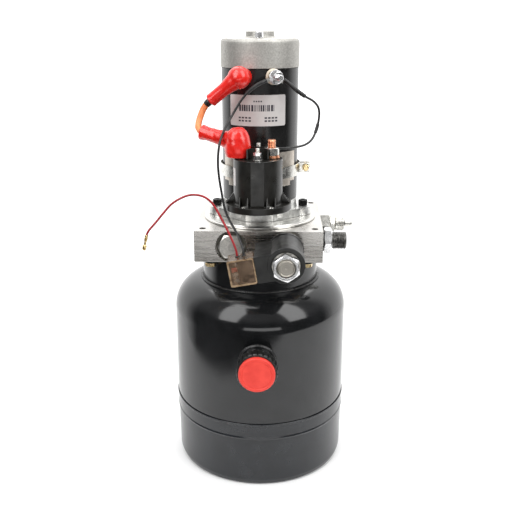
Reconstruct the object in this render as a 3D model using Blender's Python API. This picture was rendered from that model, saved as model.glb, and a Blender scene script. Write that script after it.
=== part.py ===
"""Hydraulic power unit: a steel tank, a manifold block with its valves, a gear pump, a 12 V motor
and the motor's start relay.

Sizes here are millimetres, and add_piece() turns them into metres. +Z is up, the front faces -Y,
and the origin is the middle of the tank's underside. A turned shape is drawn along its own Z axis
and then faced FORWARD (its Z to -Y) or RIGHT (its Z to +X), so its heights count from the unit's
own middle axis.
"""

import math

import bmesh
import bpy
from mathutils import Vector

MM = 0.001
GAP = 0.3  # clearance between pieces that touch

# Tank
TANK_RADIUS = 94.1
TANK_WALL = 2.0
CUP_LIP_RADIUS = 95.0
SEAM_Z = 74.5
CUP_BEAD_Z = 58.0
SHOULDER_Z = 176.0
SHOULDER_RADIUS = 33.5
NECK_RADIUS = 62.5
FILLER_Z = 146.0
FILLER_SEAT = 104.5  # distance of the filler boss's face from the tank's axis
LUG_X = 50.0
LUG_Y = 48.0
LUG_THICKNESS = 5.0

# Manifold block
BLOCK_LOW_Z = 243.4
BLOCK_HIGH_Z = 275.7
BLOCK_HALF_WIDTH = 65.0
BLOCK_FRONT = 65.0
BLOCK_BACK = 69.0
PORT_Z = 259.7
VALVE_X = 27.5
OUTLET_Y = -39.0
RELIEF_Y = 27.0
SHAFT_BORE = 15.0
FIXING_HOLES = [(-57, -54), (57, -54), (-57, 58), (57, 58)]

# Pump
GEAR_TEETH = 12
GEAR_MODULE = 2.5
GEAR_TIP_RADIUS = 17.2
GEAR_ROOT_RADIUS = 12.3
PRESSURE_ANGLE = math.radians(20)
TOOTH_THINNING = 0.15
GEAR_DISTANCE = GEAR_TEETH * GEAR_MODULE
PUMP_RADIUS = 24.0
PUMP_COVER_Z = 203.0
PUMP_BODY_Z = 214.9
PUMP_POCKET_Z = 236.0

# Motor
DISC_HIGH_Z = 279.0
FLANGE_LOW_Z = DISC_HIGH_Z + GAP
FLANGE_HIGH_Z = 287.3
HOUSING_LOW_Z = 298.0
HOUSING_HIGH_Z = 431.7
MOTOR_RADIUS = 39.3
MOTOR_BORE = 34.0
CAP_HIGH_Z = 460.0
BOSS_HIGH_Z = 466.5
EAR_X = 46.0
THROUGH_BOLT_Y = 28.0
TERMINAL_Z = 424.5
TERMINAL_ANGLE = 20.0  # degrees either side of the front

# Start relay
RELAY_Y = -73.5
RELAY_RADIUS = 23.5
RELAY_LOW_Z = 302.4
RELAY_HIGH_Z = 351.4
RELAY_STUD_X = 13.0
SMALL_STUD_OFFSET = 16.0

# Solenoid valve
COIL_RADIUS = 17.9
COIL_BACK = 73.3
COIL_FRONT = 125.0
VALVE_TUBE_RADIUS = 8.7
VALVE_TILT = 10.0  # degrees that the coil's connector side hangs down
LUG_REACH = 28.6
LUG_HALF_HEIGHT = 13.0
CONNECTOR_REACH = 54.4

FORWARD = (90, 0, 0)
RIGHT = (0, 90, 0)
TILTED_FORWARD = (90, -VALVE_TILT, 0)

# Free and held leads, as route points that a smooth curve passes through
EARTH_ROUTE = [
    (7.2, -47.6, 421.6), (3.2, -49.8, 419.9), (-2.4, -52, 417), (-9.5, -55, 412),
    (-17.6, -57.5, 402.2), (-25, -62, 390.2), (-31.6, -71.5, 378.6), (-35.4, -82.5, 368),
    (-37, -86, 357.6), (-37.4, -86.2, 345.8), (-36.4, -85.4, 332.4), (-34.6, -85.2, 320.4),
    (-32.9, -86, 310), (-30.6, -88.6, 302), (-26.6, -93, 294.4), (-20.9, -99.4, 286.4),
    (-15.6, -107, 277.6), (-13.2, -111.6, 271), (-12.4, -113, 266.5),
]
RELAY_LEAD_ROUTE = [
    (24.2, -41, 421.8), (29, -41.8, 418.3), (36.4, -40.8, 412), (45, -38.4, 405.8), (53.4, -35, 400.8),
    (58.6, -32, 394.2), (59.6, -30.6, 385.6), (57.6, -32, 374.4), (53.2, -37, 364.4), (46.4, -43, 359.6),
    (37.6, -48.6, 358), (27.6, -53, 357.6), (16.6, -55.6, 357.4), (4.7, -57.4, 357.2),
]
RED_ROUTE = [
    (-18.6, -113, 265.3), (-19.8, -112.6, 271.6), (-23, -110.4, 279.4), (-28.4, -106.6, 290),
    (-35.4, -102, 302), (-41.8, -99.6, 312.2), (-49.6, -98.6, 318.6), (-59.4, -98, 320.6),
    (-69, -97.6, 318.6), (-80.6, -97.4, 311.8), (-88.8, -97.6, 303), (-97, -98.2, 293.2),
    (-103.4, -98.8, 286), (-105.8, -99.2, 281.6),
]
CABLE_ROUTE = [
    (-47.3, -47.4, 402), (-50.5, -46.7, 399.2), (-54, -46.6, 394.5), (-56.8, -47.6, 388),
    (-58.6, -49.6, 382), (-59, -52.9, 377.6), (-57, -56.6, 374.9), (-52, -59.8, 373.2),
    (-44.4, -63.3, 371.3),
]
EARTH_RADIUS = 1.15
RED_RADIUS = 1.1
CABLE_RADIUS = 3.2


# Shapes


def circle(radius, height, segments):
    turn = 2 * math.pi / segments
    return [(radius * math.cos(i * turn), radius * math.sin(i * turn), height) for i in range(segments)]


def arc(centre_x, centre_y, radius, start, end, steps):
    """Points along an arc, with its angles in degrees."""
    points = []
    for i in range(steps + 1):
        angle = math.radians(start + (end - start) * i / steps)
        points.append((centre_x + radius * math.cos(angle), centre_y + radius * math.sin(angle)))
    return points


def bridge(shape, low, high):
    """Faces between two closed loops of vertices, either of which may be a single point."""
    count = max(len(low), len(high))
    if count == 1:
        return
    for i in range(count):
        j = (i + 1) % count
        corners = [low[i % len(low)], low[j % len(low)], high[j % len(high)], high[i % len(high)]]
        shape.faces.new(list(dict.fromkeys(corners)))


def turned(outline, segments=20, bored=False):
    """A turned shape about Z from (radius, height) points. A bored outline closes on itself."""
    shape = bmesh.new()
    rings = []
    for radius, height in outline:
        places = [(0, 0, height)] if radius == 0 else circle(radius, height, segments)
        rings.append([shape.verts.new(place) for place in places])
    for low, high in zip(rings, rings[1:]):
        bridge(shape, low, high)
    if bored:
        bridge(shape, rings[-1], rings[0])
    else:
        for ring in (rings[0], rings[-1]):
            if len(ring) > 1:
                shape.faces.new(ring)
    bmesh.ops.recalc_face_normals(shape, faces=shape.faces)
    return shape


def cylinder(radius, low, high, segments=20, x=0.0, y=0.0):
    shape = turned([(radius, low), (radius, high)], segments)
    bmesh.ops.translate(shape, vec=(x, y, 0), verts=shape.verts)
    return shape


def tube(inner, outer, low, high, segments=20):
    return turned([(inner, low), (outer, low), (outer, high), (inner, high)], segments, bored=True)


def prism(outline, low, high):
    """A flat outline of (x, y) points raised from one height to another."""
    shape = bmesh.new()
    bottom = [shape.verts.new((x, y, low)) for x, y in outline]
    top = [shape.verts.new((x, y, high)) for x, y in outline]
    bridge(shape, bottom, top)
    shape.faces.new(bottom)
    shape.faces.new(top)
    bmesh.ops.recalc_face_normals(shape, faces=shape.faces)
    return shape


def box(low, high):
    (x0, y0, z0), (x1, y1, z1) = low, high
    return prism([(x0, y0), (x1, y0), (x1, y1), (x0, y1)], z0, z1)


def hexagon(across_flats, turn=0.0):
    """The corners of a hexagon, the first one turned from +X by an angle in degrees."""
    return arc(0, 0, across_flats / math.sqrt(3), turn, turn + 300, 5)


def spring(coil_radius, wire_radius, low, high, turns, steps=8, sides=4):
    """A closed helical wire about Z."""
    shape = bmesh.new()
    rings = []
    count = turns * steps
    for k in range(count + 1):
        angle = 2 * math.pi * k / steps
        height = low + wire_radius + (high - low - 2 * wire_radius) * k / count
        ring = []
        for side in range(sides):
            around = 2 * math.pi * side / sides
            reach = coil_radius + wire_radius * math.cos(around)
            rise = wire_radius * math.sin(around)
            ring.append(shape.verts.new((reach * math.cos(angle), reach * math.sin(angle), height + rise)))
        rings.append(ring)
    for before, after in zip(rings, rings[1:]):
        bridge(shape, before, after)
    shape.faces.new(rings[0])
    shape.faces.new(rings[-1])
    bmesh.ops.recalc_face_normals(shape, faces=shape.faces)
    return shape


def gathered(shapes):
    """Several shapes that don't touch, as the bodies of one cutter."""
    whole = bmesh.new()
    for shape in shapes:
        mesh = bpy.data.meshes.new("gathered")
        shape.to_mesh(mesh)
        shape.free()
        whole.from_mesh(mesh)
        bpy.data.meshes.remove(mesh)
    return whole


def half_tooth(radius, pitch_radius):
    """Half of an involute tooth's angle at a radius."""
    base = pitch_radius * math.cos(PRESSURE_ANGLE)
    at_pitch = (math.pi * GEAR_MODULE / 2 - TOOTH_THINNING) / (2 * pitch_radius)
    pressure = math.acos(min(1.0, base / radius))
    opened = math.tan(PRESSURE_ANGLE) - PRESSURE_ANGLE
    return at_pitch + opened - (math.tan(pressure) - pressure)


def gear_outline(turn):
    pitch_radius = GEAR_TEETH * GEAR_MODULE / 2
    base = pitch_radius * math.cos(PRESSURE_ANGLE)
    flank = [base + (GEAR_TIP_RADIUS - base) * i / 3 for i in range(4)]
    points = []
    for tooth in range(GEAR_TEETH):
        middle = turn + 2 * math.pi * tooth / GEAR_TEETH
        root = half_tooth(base, pitch_radius)
        side = [(GEAR_ROOT_RADIUS, root)] + [(r, half_tooth(r, pitch_radius)) for r in flank]
        for radius, angle in side:
            points.append((radius * math.cos(middle - angle), radius * math.sin(middle - angle)))
        for radius, angle in reversed(side):
            points.append((radius * math.cos(middle + angle), radius * math.sin(middle + angle)))
    return points


def capsule(x0, y0, x1, y1, radius, steps=8):
    """The outline round two equal circles."""
    heading = math.degrees(math.atan2(y1 - y0, x1 - x0))
    far = arc(x1, y1, radius, heading - 90, heading + 90, steps)
    near = arc(x0, y0, radius, heading + 90, heading + 270, steps)
    return far + near


# Objects


def clear_scene():
    for old in list(bpy.data.objects):
        bpy.data.objects.remove(old, do_unlink=True)


def material(name, colour, roughness, metallic=0.0):
    look = bpy.data.materials.new(name)
    look.use_nodes = True
    shader = look.node_tree.nodes["Principled BSDF"]
    shader.inputs["Base Color"].default_value = (*colour, 1)
    shader.inputs["Roughness"].default_value = roughness
    shader.inputs["Metallic"].default_value = metallic
    look.diffuse_color = (*colour, 1)
    return look


def make_materials():
    return {
        "tank_paint": material("tank_paint", (0.012, 0.013, 0.015), 0.25),
        "motor_paint": material("motor_paint", (0.02, 0.02, 0.022), 0.35),
        "aluminium": material("aluminium", (0.62, 0.61, 0.59), 0.35, 1.0),
        "cast_alloy": material("cast_alloy", (0.5, 0.5, 0.49), 0.5, 1.0),
        "chrome": material("chrome", (0.8, 0.8, 0.8), 0.12, 1.0),
        "steel": material("steel", (0.45, 0.44, 0.43), 0.35, 1.0),
        "black_steel": material("black_steel", (0.03, 0.03, 0.03), 0.45, 0.6),
        "yellow_zinc": material("yellow_zinc", (0.62, 0.5, 0.26), 0.35, 1.0),
        "zinc": material("zinc", (0.66, 0.65, 0.6), 0.35, 1.0),
        "copper": material("copper", (0.75, 0.36, 0.2), 0.35, 1.0),
        "brass": material("brass", (0.75, 0.55, 0.25), 0.3, 1.0),
        "black_plastic": material("black_plastic", (0.02, 0.02, 0.021), 0.45),
        "red_plastic": material("red_plastic", (0.75, 0.06, 0.04), 0.45),
        "red_vinyl": material("red_vinyl", (0.8, 0.03, 0.02), 0.3),
        "orange_cable": material("orange_cable", (0.85, 0.3, 0.1), 0.4),
        "black_wire": material("black_wire", (0.02, 0.02, 0.02), 0.4),
        "red_wire": material("red_wire", (0.55, 0.03, 0.03), 0.4),
        "clear_plastic": material("clear_plastic", (0.3, 0.22, 0.17), 0.15),
        "rubber": material("rubber", (0.02, 0.02, 0.02), 0.6),
    }


def add_object(name, shape, location, rotation):
    """A new object from a shape in millimetres, which the call uses up."""
    bmesh.ops.scale(shape, vec=(MM, MM, MM), verts=shape.verts)
    mesh = bpy.data.meshes.new(name)
    shape.to_mesh(mesh)
    shape.free()
    mesh.shade_smooth()
    mesh.set_sharp_from_angle(angle=math.radians(30))
    added = bpy.data.objects.new(name, mesh)
    bpy.context.scene.collection.objects.link(added)
    added.location = Vector(location) * MM
    added.rotation_euler = [math.radians(angle) for angle in rotation]
    return added


def add_piece(name, shape, look, location=(0, 0, 0), rotation=(0, 0, 0)):
    piece = add_object(name, shape, location, rotation)
    piece.data.materials.append(look)
    return piece


def change(piece, shape, operation, location=None, rotation=None):
    """Cuts a shape from a piece or joins it on, in the piece's own axes if no place is given."""
    tool = add_object(f"{piece.name}_{operation.lower()}", shape, (0, 0, 0), (0, 0, 0))
    tool.location = piece.location if location is None else Vector(location) * MM
    tool.rotation_euler = piece.rotation_euler if rotation is None else [math.radians(a) for a in rotation]
    tool.hide_render = True
    tool.display_type = "WIRE"
    modifier = piece.modifiers.new(operation.title(), "BOOLEAN")
    modifier.operation = operation
    modifier.solver = "EXACT"
    modifier.object = tool


def cut(piece, shape, location=None, rotation=None):
    change(piece, shape, "DIFFERENCE", location, rotation)


def join(piece, shape, location=None, rotation=None):
    change(piece, shape, "UNION", location, rotation)


def smooth_route(points, spacing):
    """Points about a spacing apart on a smooth curve through the route's points."""
    ends = [points[0] * 2 - points[1], *points, points[-1] * 2 - points[-2]]
    route = []
    for before, start, end, after in zip(ends, ends[1:], ends[2:], ends[3:]):
        steps = max(1, round((end - start).length / spacing))
        for i in range(steps):
            t = i / steps
            place = start * 2 + (end - before) * t + (before * 2 - start * 5 + end * 4 - after) * t * t
            place += (start * 3 - before - end * 3 + after) * t * t * t
            route.append(place / 2)
    route.append(points[-1])
    return route


def add_lead(name, points, radius, look, bevel_resolution=2):
    route = smooth_route([Vector(point) for point in points], radius * 5)
    curve = bpy.data.curves.new(name, "CURVE")
    curve.dimensions = "3D"
    curve.bevel_depth = radius * MM
    curve.bevel_resolution = bevel_resolution
    curve.use_fill_caps = True
    spline = curve.splines.new("POLY")
    spline.points.add(len(route) - 1)
    for point, place in zip(spline.points, route):
        point.co = (*(place * MM), 1)
    curve.materials.append(look)
    lead = bpy.data.objects.new(name, curve)
    bpy.context.scene.collection.objects.link(lead)


# Tank and filler


def add_tank(looks):
    inner = TANK_RADIUS - TANK_WALL
    neck_bore = NECK_RADIUS - 4
    arc_x = TANK_RADIUS - SHOULDER_RADIUS
    inner_radius = SHOULDER_RADIUS - TANK_WALL
    outer_end = math.degrees(math.acos((NECK_RADIUS - arc_x) / SHOULDER_RADIUS))
    inner_end = math.degrees(math.acos((neck_bore - arc_x) / inner_radius))
    neck_top = BLOCK_LOW_Z - GAP
    outline = [(inner, SEAM_Z + GAP / 2), (TANK_RADIUS, SEAM_Z + GAP / 2)]
    outline += arc(arc_x, SHOULDER_Z, SHOULDER_RADIUS, 0, outer_end, 6)
    outline += [(NECK_RADIUS, neck_top), (neck_bore, neck_top)]
    outline += arc(arc_x, SHOULDER_Z, inner_radius, inner_end, 0, 4)
    tank = add_piece("tank_shell", turned(outline, 40, bored=True), looks["tank_paint"])
    boss_place = (0, 0, FILLER_Z)
    boss = [(18, 89), (18, 99), (17.3, 100), (17.3, FILLER_SEAT)]
    join(tank, turned(boss), boss_place, FORWARD)
    cut(tank, cylinder(14.2, 80, 112), boss_place, FORWARD)
    root = (NECK_RADIUS - 6) / math.hypot(LUG_X, LUG_Y)
    for x in (-LUG_X, LUG_X):
        for y in (-LUG_Y, LUG_Y):
            outline = capsule(x * root, y * root, x, y, 6.5)
            join(tank, prism(outline, neck_top - LUG_THICKNESS, neck_top - GAP))
    holes = [cylinder(3.3, 230, 250, 12, x, y) for x in (-LUG_X, LUG_X) for y in (-LUG_Y, LUG_Y)]
    cut(tank, gathered([cylinder(neck_bore, 212, 250, 40)] + holes))


def add_tank_base(looks):
    top = SEAM_Z - GAP / 2
    outline = [(0, 0), (88.6, 0), (92.4, 2), (93.2, 6.4), (TANK_RADIUS, CUP_BEAD_Z), (TANK_RADIUS, 71.6)]
    outline += [(CUP_LIP_RADIUS, 73), (CUP_LIP_RADIUS, top), (92.1, top), (91.1, 7), (87.6, 2.6), (0, 2.6)]
    add_piece("tank_base", turned(outline, 40), looks["tank_paint"])


def add_filler_cap(looks):
    place = (0, 0, FILLER_Z)
    seal_low = FILLER_SEAT + GAP
    seal_high = seal_low + 1.6
    add_piece("filler_gasket", tube(14.3, 19.5, seal_low, seal_high), looks["rubber"], place, FORWARD)
    head = seal_high + GAP
    outline = [(0, 92), (13, 92), (13.7, 93), (13.7, head), (20.2, head), (20.75, head + 0.8)]
    outline += [(20.75, 117.4), (19.8, 119), (0, 119)]
    add_piece("filler_cap", turned(outline), looks["black_plastic"], place, FORWARD)
    disc = [(0, 119 + GAP), (18.3, 119 + GAP), (18.3, 122.6), (17.6, 123.5), (14.4, 123.5)]
    disc += [(14, 122.6), (0, 122.6)]
    add_piece("filler_cap_cover", turned(disc), looks["red_plastic"], place, FORWARD)


# Manifold block and its valves


def add_block(looks):
    low = (-BLOCK_HALF_WIDTH, -BLOCK_FRONT, BLOCK_LOW_Z)
    high = (BLOCK_HALF_WIDTH, BLOCK_BACK, BLOCK_HIGH_Z)
    block = add_piece("manifold_block", box(low, high), looks["aluminium"])
    upright = [cylinder(SHAFT_BORE, 240, 280)]
    upright += [cylinder(3.4, BLOCK_HIGH_Z - 20, 280, 12, x, y) for x, y in FIXING_HOLES]
    upright += [cylinder(3.3, 240, 251, 12, x, y) for x in (-LUG_X, LUG_X) for y in (-LUG_Y, LUG_Y)]
    upright += [cylinder(3.3, 263, 280, 12, x, 0) for x in (-EAR_X, EAR_X)]
    cut(block, gathered(upright))
    seat = [(0, 30), (9, 30), (9, 59), (16, 59), (16, 68), (0, 68)]
    cut(block, turned(seat, 24), (-VALVE_X, 0, PORT_Z), FORWARD)
    cut(block, cylinder(10, 34, 68), (VALVE_X, 0, PORT_Z), FORWARD)
    cut(block, cylinder(8.6, 41, 68), (0, OUTLET_Y, PORT_Z), RIGHT)
    cut(block, cylinder(9, 38, 68), (0, RELIEF_Y, PORT_Z), RIGHT)


def add_cavity_plug(looks):
    place = (-VALVE_X, 0, PORT_Z)
    plug = add_piece("cavity_plug", prism(hexagon(24, 180), 59.3, 66.6), looks["steel"], place, FORWARD)
    join(plug, turned([(8.7, 47), (8.7, 60.5)]))
    outline = [(0, 33), (3.5, 36.5), (6, 37), (6, 44), (2.6, 44), (2.6, 44.6), (0, 44.6)]
    add_piece("check_poppet", turned(outline, 16), looks["steel"], place, FORWARD)


def add_outlet_fitting(looks):
    place = (0, OUTLET_Y, PORT_Z)
    add_piece("outlet_seal", tube(8.7, 11.6, 65.3, 66.7), looks["rubber"], place, RIGHT)
    fitting = add_piece("outlet_fitting", prism(hexagon(24, 90), 67, 75), looks["chrome"], place, RIGHT)
    join(fitting, turned([(8.3, 42.5), (8.3, 68)]))
    join(fitting, turned([(8, 74), (8, 76), (9.1, 77), (9.1, 88.8), (8.2, 90)]))
    cut(fitting, turned([(4.5, 40), (4.5, 82), (6.6, 92)]))


def add_relief_valve(looks):
    place = (0, RELIEF_Y, PORT_Z)
    body = add_piece("relief_valve_body", prism(hexagon(22, 90), 65.3, 77), looks["zinc"], place, RIGHT)
    join(body, turned([(8.6, 44), (8.6, 67)]))
    cut(body, cylinder(5, 40, 80))
    nut = add_piece("relief_lock_nut", prism(hexagon(17, 80), 77.3, 83), looks["zinc"], place, RIGHT)
    cut(nut, cylinder(4.9, 75, 85))
    outline = [(0, 71), (4.6, 71), (4.6, 83.3), (8, 83.3), (8, 92.8), (7, 94), (3.4, 94), (3.4, 101.6)]
    outline += [(2.6, 102.5), (0, 102.5)]
    add_piece("relief_adjuster", turned(outline), looks["zinc"], place, RIGHT)
    outline = [(0, 46), (3.2, 49.4), (4.7, 49.4), (4.7, 53), (2.2, 53), (2.2, 60), (0, 60)]
    add_piece("relief_poppet", turned(outline, 16), looks["steel"], place, RIGHT)
    add_piece("relief_spring", spring(3.4, 0.6, 53.3, 70.7, 5), looks["steel"], place, RIGHT)


def add_solenoid_valve(looks):
    place = (VALVE_X, 0, PORT_Z)
    outline = [(6.2, 38), (9.7, 38), (9.7, 65.3), (14.5, 65.3), (14.5, 73), (VALVE_TUBE_RADIUS, 73)]
    outline += [(VALVE_TUBE_RADIUS, 133), (8.2, 134), (0, 134), (0, 130), (6.2, 130)]
    add_piece("valve_cartridge", turned(outline, bored=True), looks["steel"], place, FORWARD)
    outline = [(0, 70), (2.5, 74), (5.9, 78), (5.9, 112), (0, 112)]
    add_piece("valve_plunger", turned(outline, 16), looks["steel"], place, FORWARD)
    add_piece("valve_spring", spring(4, 0.6, 112.3, 129.7, 5), looks["steel"], place, FORWARD)
    bore = VALVE_TUBE_RADIUS + GAP
    shape = cylinder(COIL_RADIUS, COIL_BACK, COIL_FRONT, 28)
    coil = add_piece("valve_coil", shape, looks["black_plastic"], place, TILTED_FORWARD)
    lug_low = (-LUG_REACH, -LUG_HALF_HEIGHT, COIL_BACK + 4)
    join(coil, box(lug_low, (0, LUG_HALF_HEIGHT, COIL_FRONT - 0.2)))
    cut(coil, cylinder(bore, COIL_BACK - 5, COIL_FRONT + 5))
    shape = prism(hexagon(23.8, 96), COIL_FRONT + GAP, 133.4)
    nut = add_piece("coil_nut", shape, looks["chrome"], place, FORWARD)
    cut(nut, cylinder(bore, COIL_FRONT - 5, 140))
    plug_low = (-CONNECTOR_REACH, -LUG_HALF_HEIGHT, 103)
    plug_high = (-LUG_REACH - GAP, LUG_HALF_HEIGHT, 124)
    add_piece("valve_connector", box(plug_low, plug_high), looks["clear_plastic"], place, TILTED_FORWARD)


def add_tank_bolts(looks):
    number = 0
    head_top = BLOCK_LOW_Z - LUG_THICKNESS - 2 * GAP
    for y in (-LUG_Y, LUG_Y):
        for x in (-LUG_X, LUG_X):
            number += 1
            head = prism(hexagon(10, 15), head_top - 4, head_top)
            bolt = add_piece(f"tank_bolt_{number}", head, looks["yellow_zinc"], (x, y, 0))
            join(bolt, cylinder(3, head_top - 1, 250.6, 12))


# Pump, inside the tank's neck


def add_gear(name, looks, y, turn, shaft_top):
    low = PUMP_BODY_Z + GAP
    gear = add_piece(name, prism(gear_outline(turn), low, PUMP_POCKET_Z - GAP), looks["steel"], (0, y, 0))
    join(gear, cylinder(6, 206, shaft_top, 12))


def add_pump(looks):
    shape = capsule(0, 0, 0, GEAR_DISTANCE, PUMP_RADIUS, 12)
    body = add_piece("pump_body", prism(shape, PUMP_BODY_Z, BLOCK_LOW_Z - GAP), looks["aluminium"])
    pocket = GEAR_TIP_RADIUS + GAP
    cut(body, cylinder(pocket, 210, PUMP_POCKET_Z, 28))
    cut(body, cylinder(pocket, 210, PUMP_POCKET_Z, 28, 0, GEAR_DISTANCE))
    cut(body, cylinder(6.3, 230, 250))
    cut(body, cylinder(6.3, 230, 240.6, 24, 0, GEAR_DISTANCE))
    cover = add_piece("pump_cover", prism(shape, PUMP_COVER_Z, PUMP_BODY_Z - GAP), looks["aluminium"])
    cut(cover, gathered([cylinder(6.3, 205.5, 220), cylinder(6.3, 205.5, 220, 24, 0, GEAR_DISTANCE)]))
    cut(cover, cylinder(4.5, 200, 220, 16, 14.5, GEAR_DISTANCE / 2))
    add_gear("drive_gear", looks, 0, 0, 258.7)
    add_gear("driven_gear", looks, GEAR_DISTANCE, math.pi / GEAR_TEETH, 240.3)


def add_suction(looks):
    place = (14.5, GEAR_DISTANCE / 2, 0)
    add_piece("suction_pipe", tube(4.5, 6.5, 60.3, PUMP_COVER_Z - GAP, 16), looks["steel"], place)
    outline = [(4.5, 60), (16, 60), (18, 58), (18, 24), (16, 22), (0, 22), (0, 24), (15.5, 24)]
    outline += [(15.5, 57.5), (4.5, 57.5)]
    add_piece("suction_strainer", turned(outline, bored=True), looks["brass"], place)


# Motor


def add_motor_flange(looks):
    shape = tube(SHAFT_BORE, 59.3, BLOCK_HIGH_Z + GAP, DISC_HIGH_Z, 36)
    disc = add_piece("adapter_disc", shape, looks["cast_alloy"])
    cut(disc, gathered([cylinder(3.3, 270, 285, 12, x, 0) for x in (-EAR_X, EAR_X)]))
    outline = arc(39.5, 0, 15, -80, 80, 8) + arc(0, 0, 41, 69, 111, 6)
    outline += arc(-39.5, 0, 15, 100, 260, 8) + arc(0, 0, 41, 249, 291, 6)
    flange = add_piece("motor_flange", prism(outline, FLANGE_LOW_Z, FLANGE_HIGH_Z), looks["cast_alloy"])
    join(flange, cylinder(39, FLANGE_LOW_Z + 2, HOUSING_LOW_Z - GAP, 36))
    hollow = [(0, 270), (7.5, 270), (7.5, 283.7), (13.3, 283.7), (13.3, 292), (33, 292), (33, 300), (0, 300)]
    cut(flange, turned(hollow, 24))
    holes = [cylinder(3.3, 270, 290, 12, x, 0) for x in (-EAR_X, EAR_X)]
    holes += [cylinder(2.8, 284, 300, 12, 0, y) for y in (-THROUGH_BOLT_Y, THROUGH_BOLT_Y)]
    cut(flange, gathered(holes))
    low = FLANGE_HIGH_Z + GAP
    for name, x in (("flange_screw_left", -EAR_X), ("flange_screw_right", EAR_X)):
        outline = [(0, 264), (3, 264), (3, low), (4.8, low), (4.8, low + 5.6), (4.4, low + 6.1)]
        outline += [(2.7, low + 6.1), (2.7, low + 3), (0, low + 3)]
        add_piece(name, turned(outline, 16), looks["black_steel"], (x, 0, 0))


def add_motor_case(looks):
    shape = tube(MOTOR_BORE, MOTOR_RADIUS, HOUSING_LOW_Z, HOUSING_HIGH_Z, 36)
    housing = add_piece("motor_housing", shape, looks["motor_paint"])
    for side in (-1, 1):
        turn = side * TERMINAL_ANGLE
        cut(housing, cylinder(4.5, 30, 45, 16), (0, 0, TERMINAL_Z), (90, 0, turn))
    low = HOUSING_HIGH_Z + GAP
    outline = [(0, 461.5), (5.3, 461.5), (5.3, 450), (MOTOR_BORE, 450), (MOTOR_BORE, low), (40, low), (40, 455.8)]
    outline += [(38.8, 458.8), (35, CAP_HIGH_Z), (14.5, CAP_HIGH_Z), (14.5, BOSS_HIGH_Z), (0, BOSS_HIGH_Z)]
    cap = add_piece("motor_end_cap", turned(outline, 36), looks["cast_alloy"])
    cut(cap, gathered([cylinder(2.8, 440, 470, 12, 0, y) for y in (-THROUGH_BOLT_Y, THROUGH_BOLT_Y)]))
    head = CAP_HIGH_Z + GAP
    for name, y in (("through_bolt_front", -THROUGH_BOLT_Y), ("through_bolt_rear", THROUGH_BOLT_Y)):
        outline = [(0, 285), (2.4, 285), (2.4, head), (4.2, head), (4.2, head + 5), (3.6, head + 5.6)]
        outline += [(0, head + 5.6)]
        add_piece(name, turned(outline, 12), looks["zinc"], (0, y, 0))


def add_terminals(looks):
    place = (0, 0, TERMINAL_Z)
    outline = [(0, 36), (3, 36), (3, 39.8), (7.6, 39.8), (7.6, 42.6), (6.4, 42.6), (6.4, 45.4)]
    outline += [(3, 45.4), (3, 47.4), (7, 47.4), (7, 49), (5.9, 49), (5.9, 55), (3, 55), (3, 61.5)]
    outline += [(2.4, 62.3), (0, 62.3)]
    for name, turn in (("motor_terminal_left", -TERMINAL_ANGLE), ("motor_terminal_right", TERMINAL_ANGLE)):
        add_piece(name, turned(outline, 16), looks["zinc"], place, (90, 0, turn))


def add_motor_inside(looks):
    outline = [(0, 261.3), (5, 261.3), (5, 322), (20, 322), (24.5, 330), (24.5, 396), (20, 404), (14, 404.5)]
    outline += [(14, 420), (5, 420), (5, 461.2), (0, 461.2)]
    add_piece("armature", turned(outline), looks["steel"])
    add_piece("lower_bearing", tube(5.3, 13, 284, 291.7), looks["steel"])
    brushes = add_piece("brush_ring", tube(14.5, 33.6, 408, 412, 32), looks["black_plastic"])
    for side in (-1, 1):
        near, far = sorted((side * 14.6, side * 30))
        join(brushes, box((near, -4, 411), (far, 4, 419)))
    cut(brushes, gathered([cylinder(2.9, 400, 425, 12, 0, y) for y in (-THROUGH_BOLT_Y, THROUGH_BOLT_Y)]))
    outline = [(6.3, 250), (11, 250), (11, 274), (5.3, 274), (5.3, 261), (0, 261), (0, 259), (6.3, 259)]
    add_piece("shaft_coupling", turned(outline, bored=True), looks["steel"])


# Start relay


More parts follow.
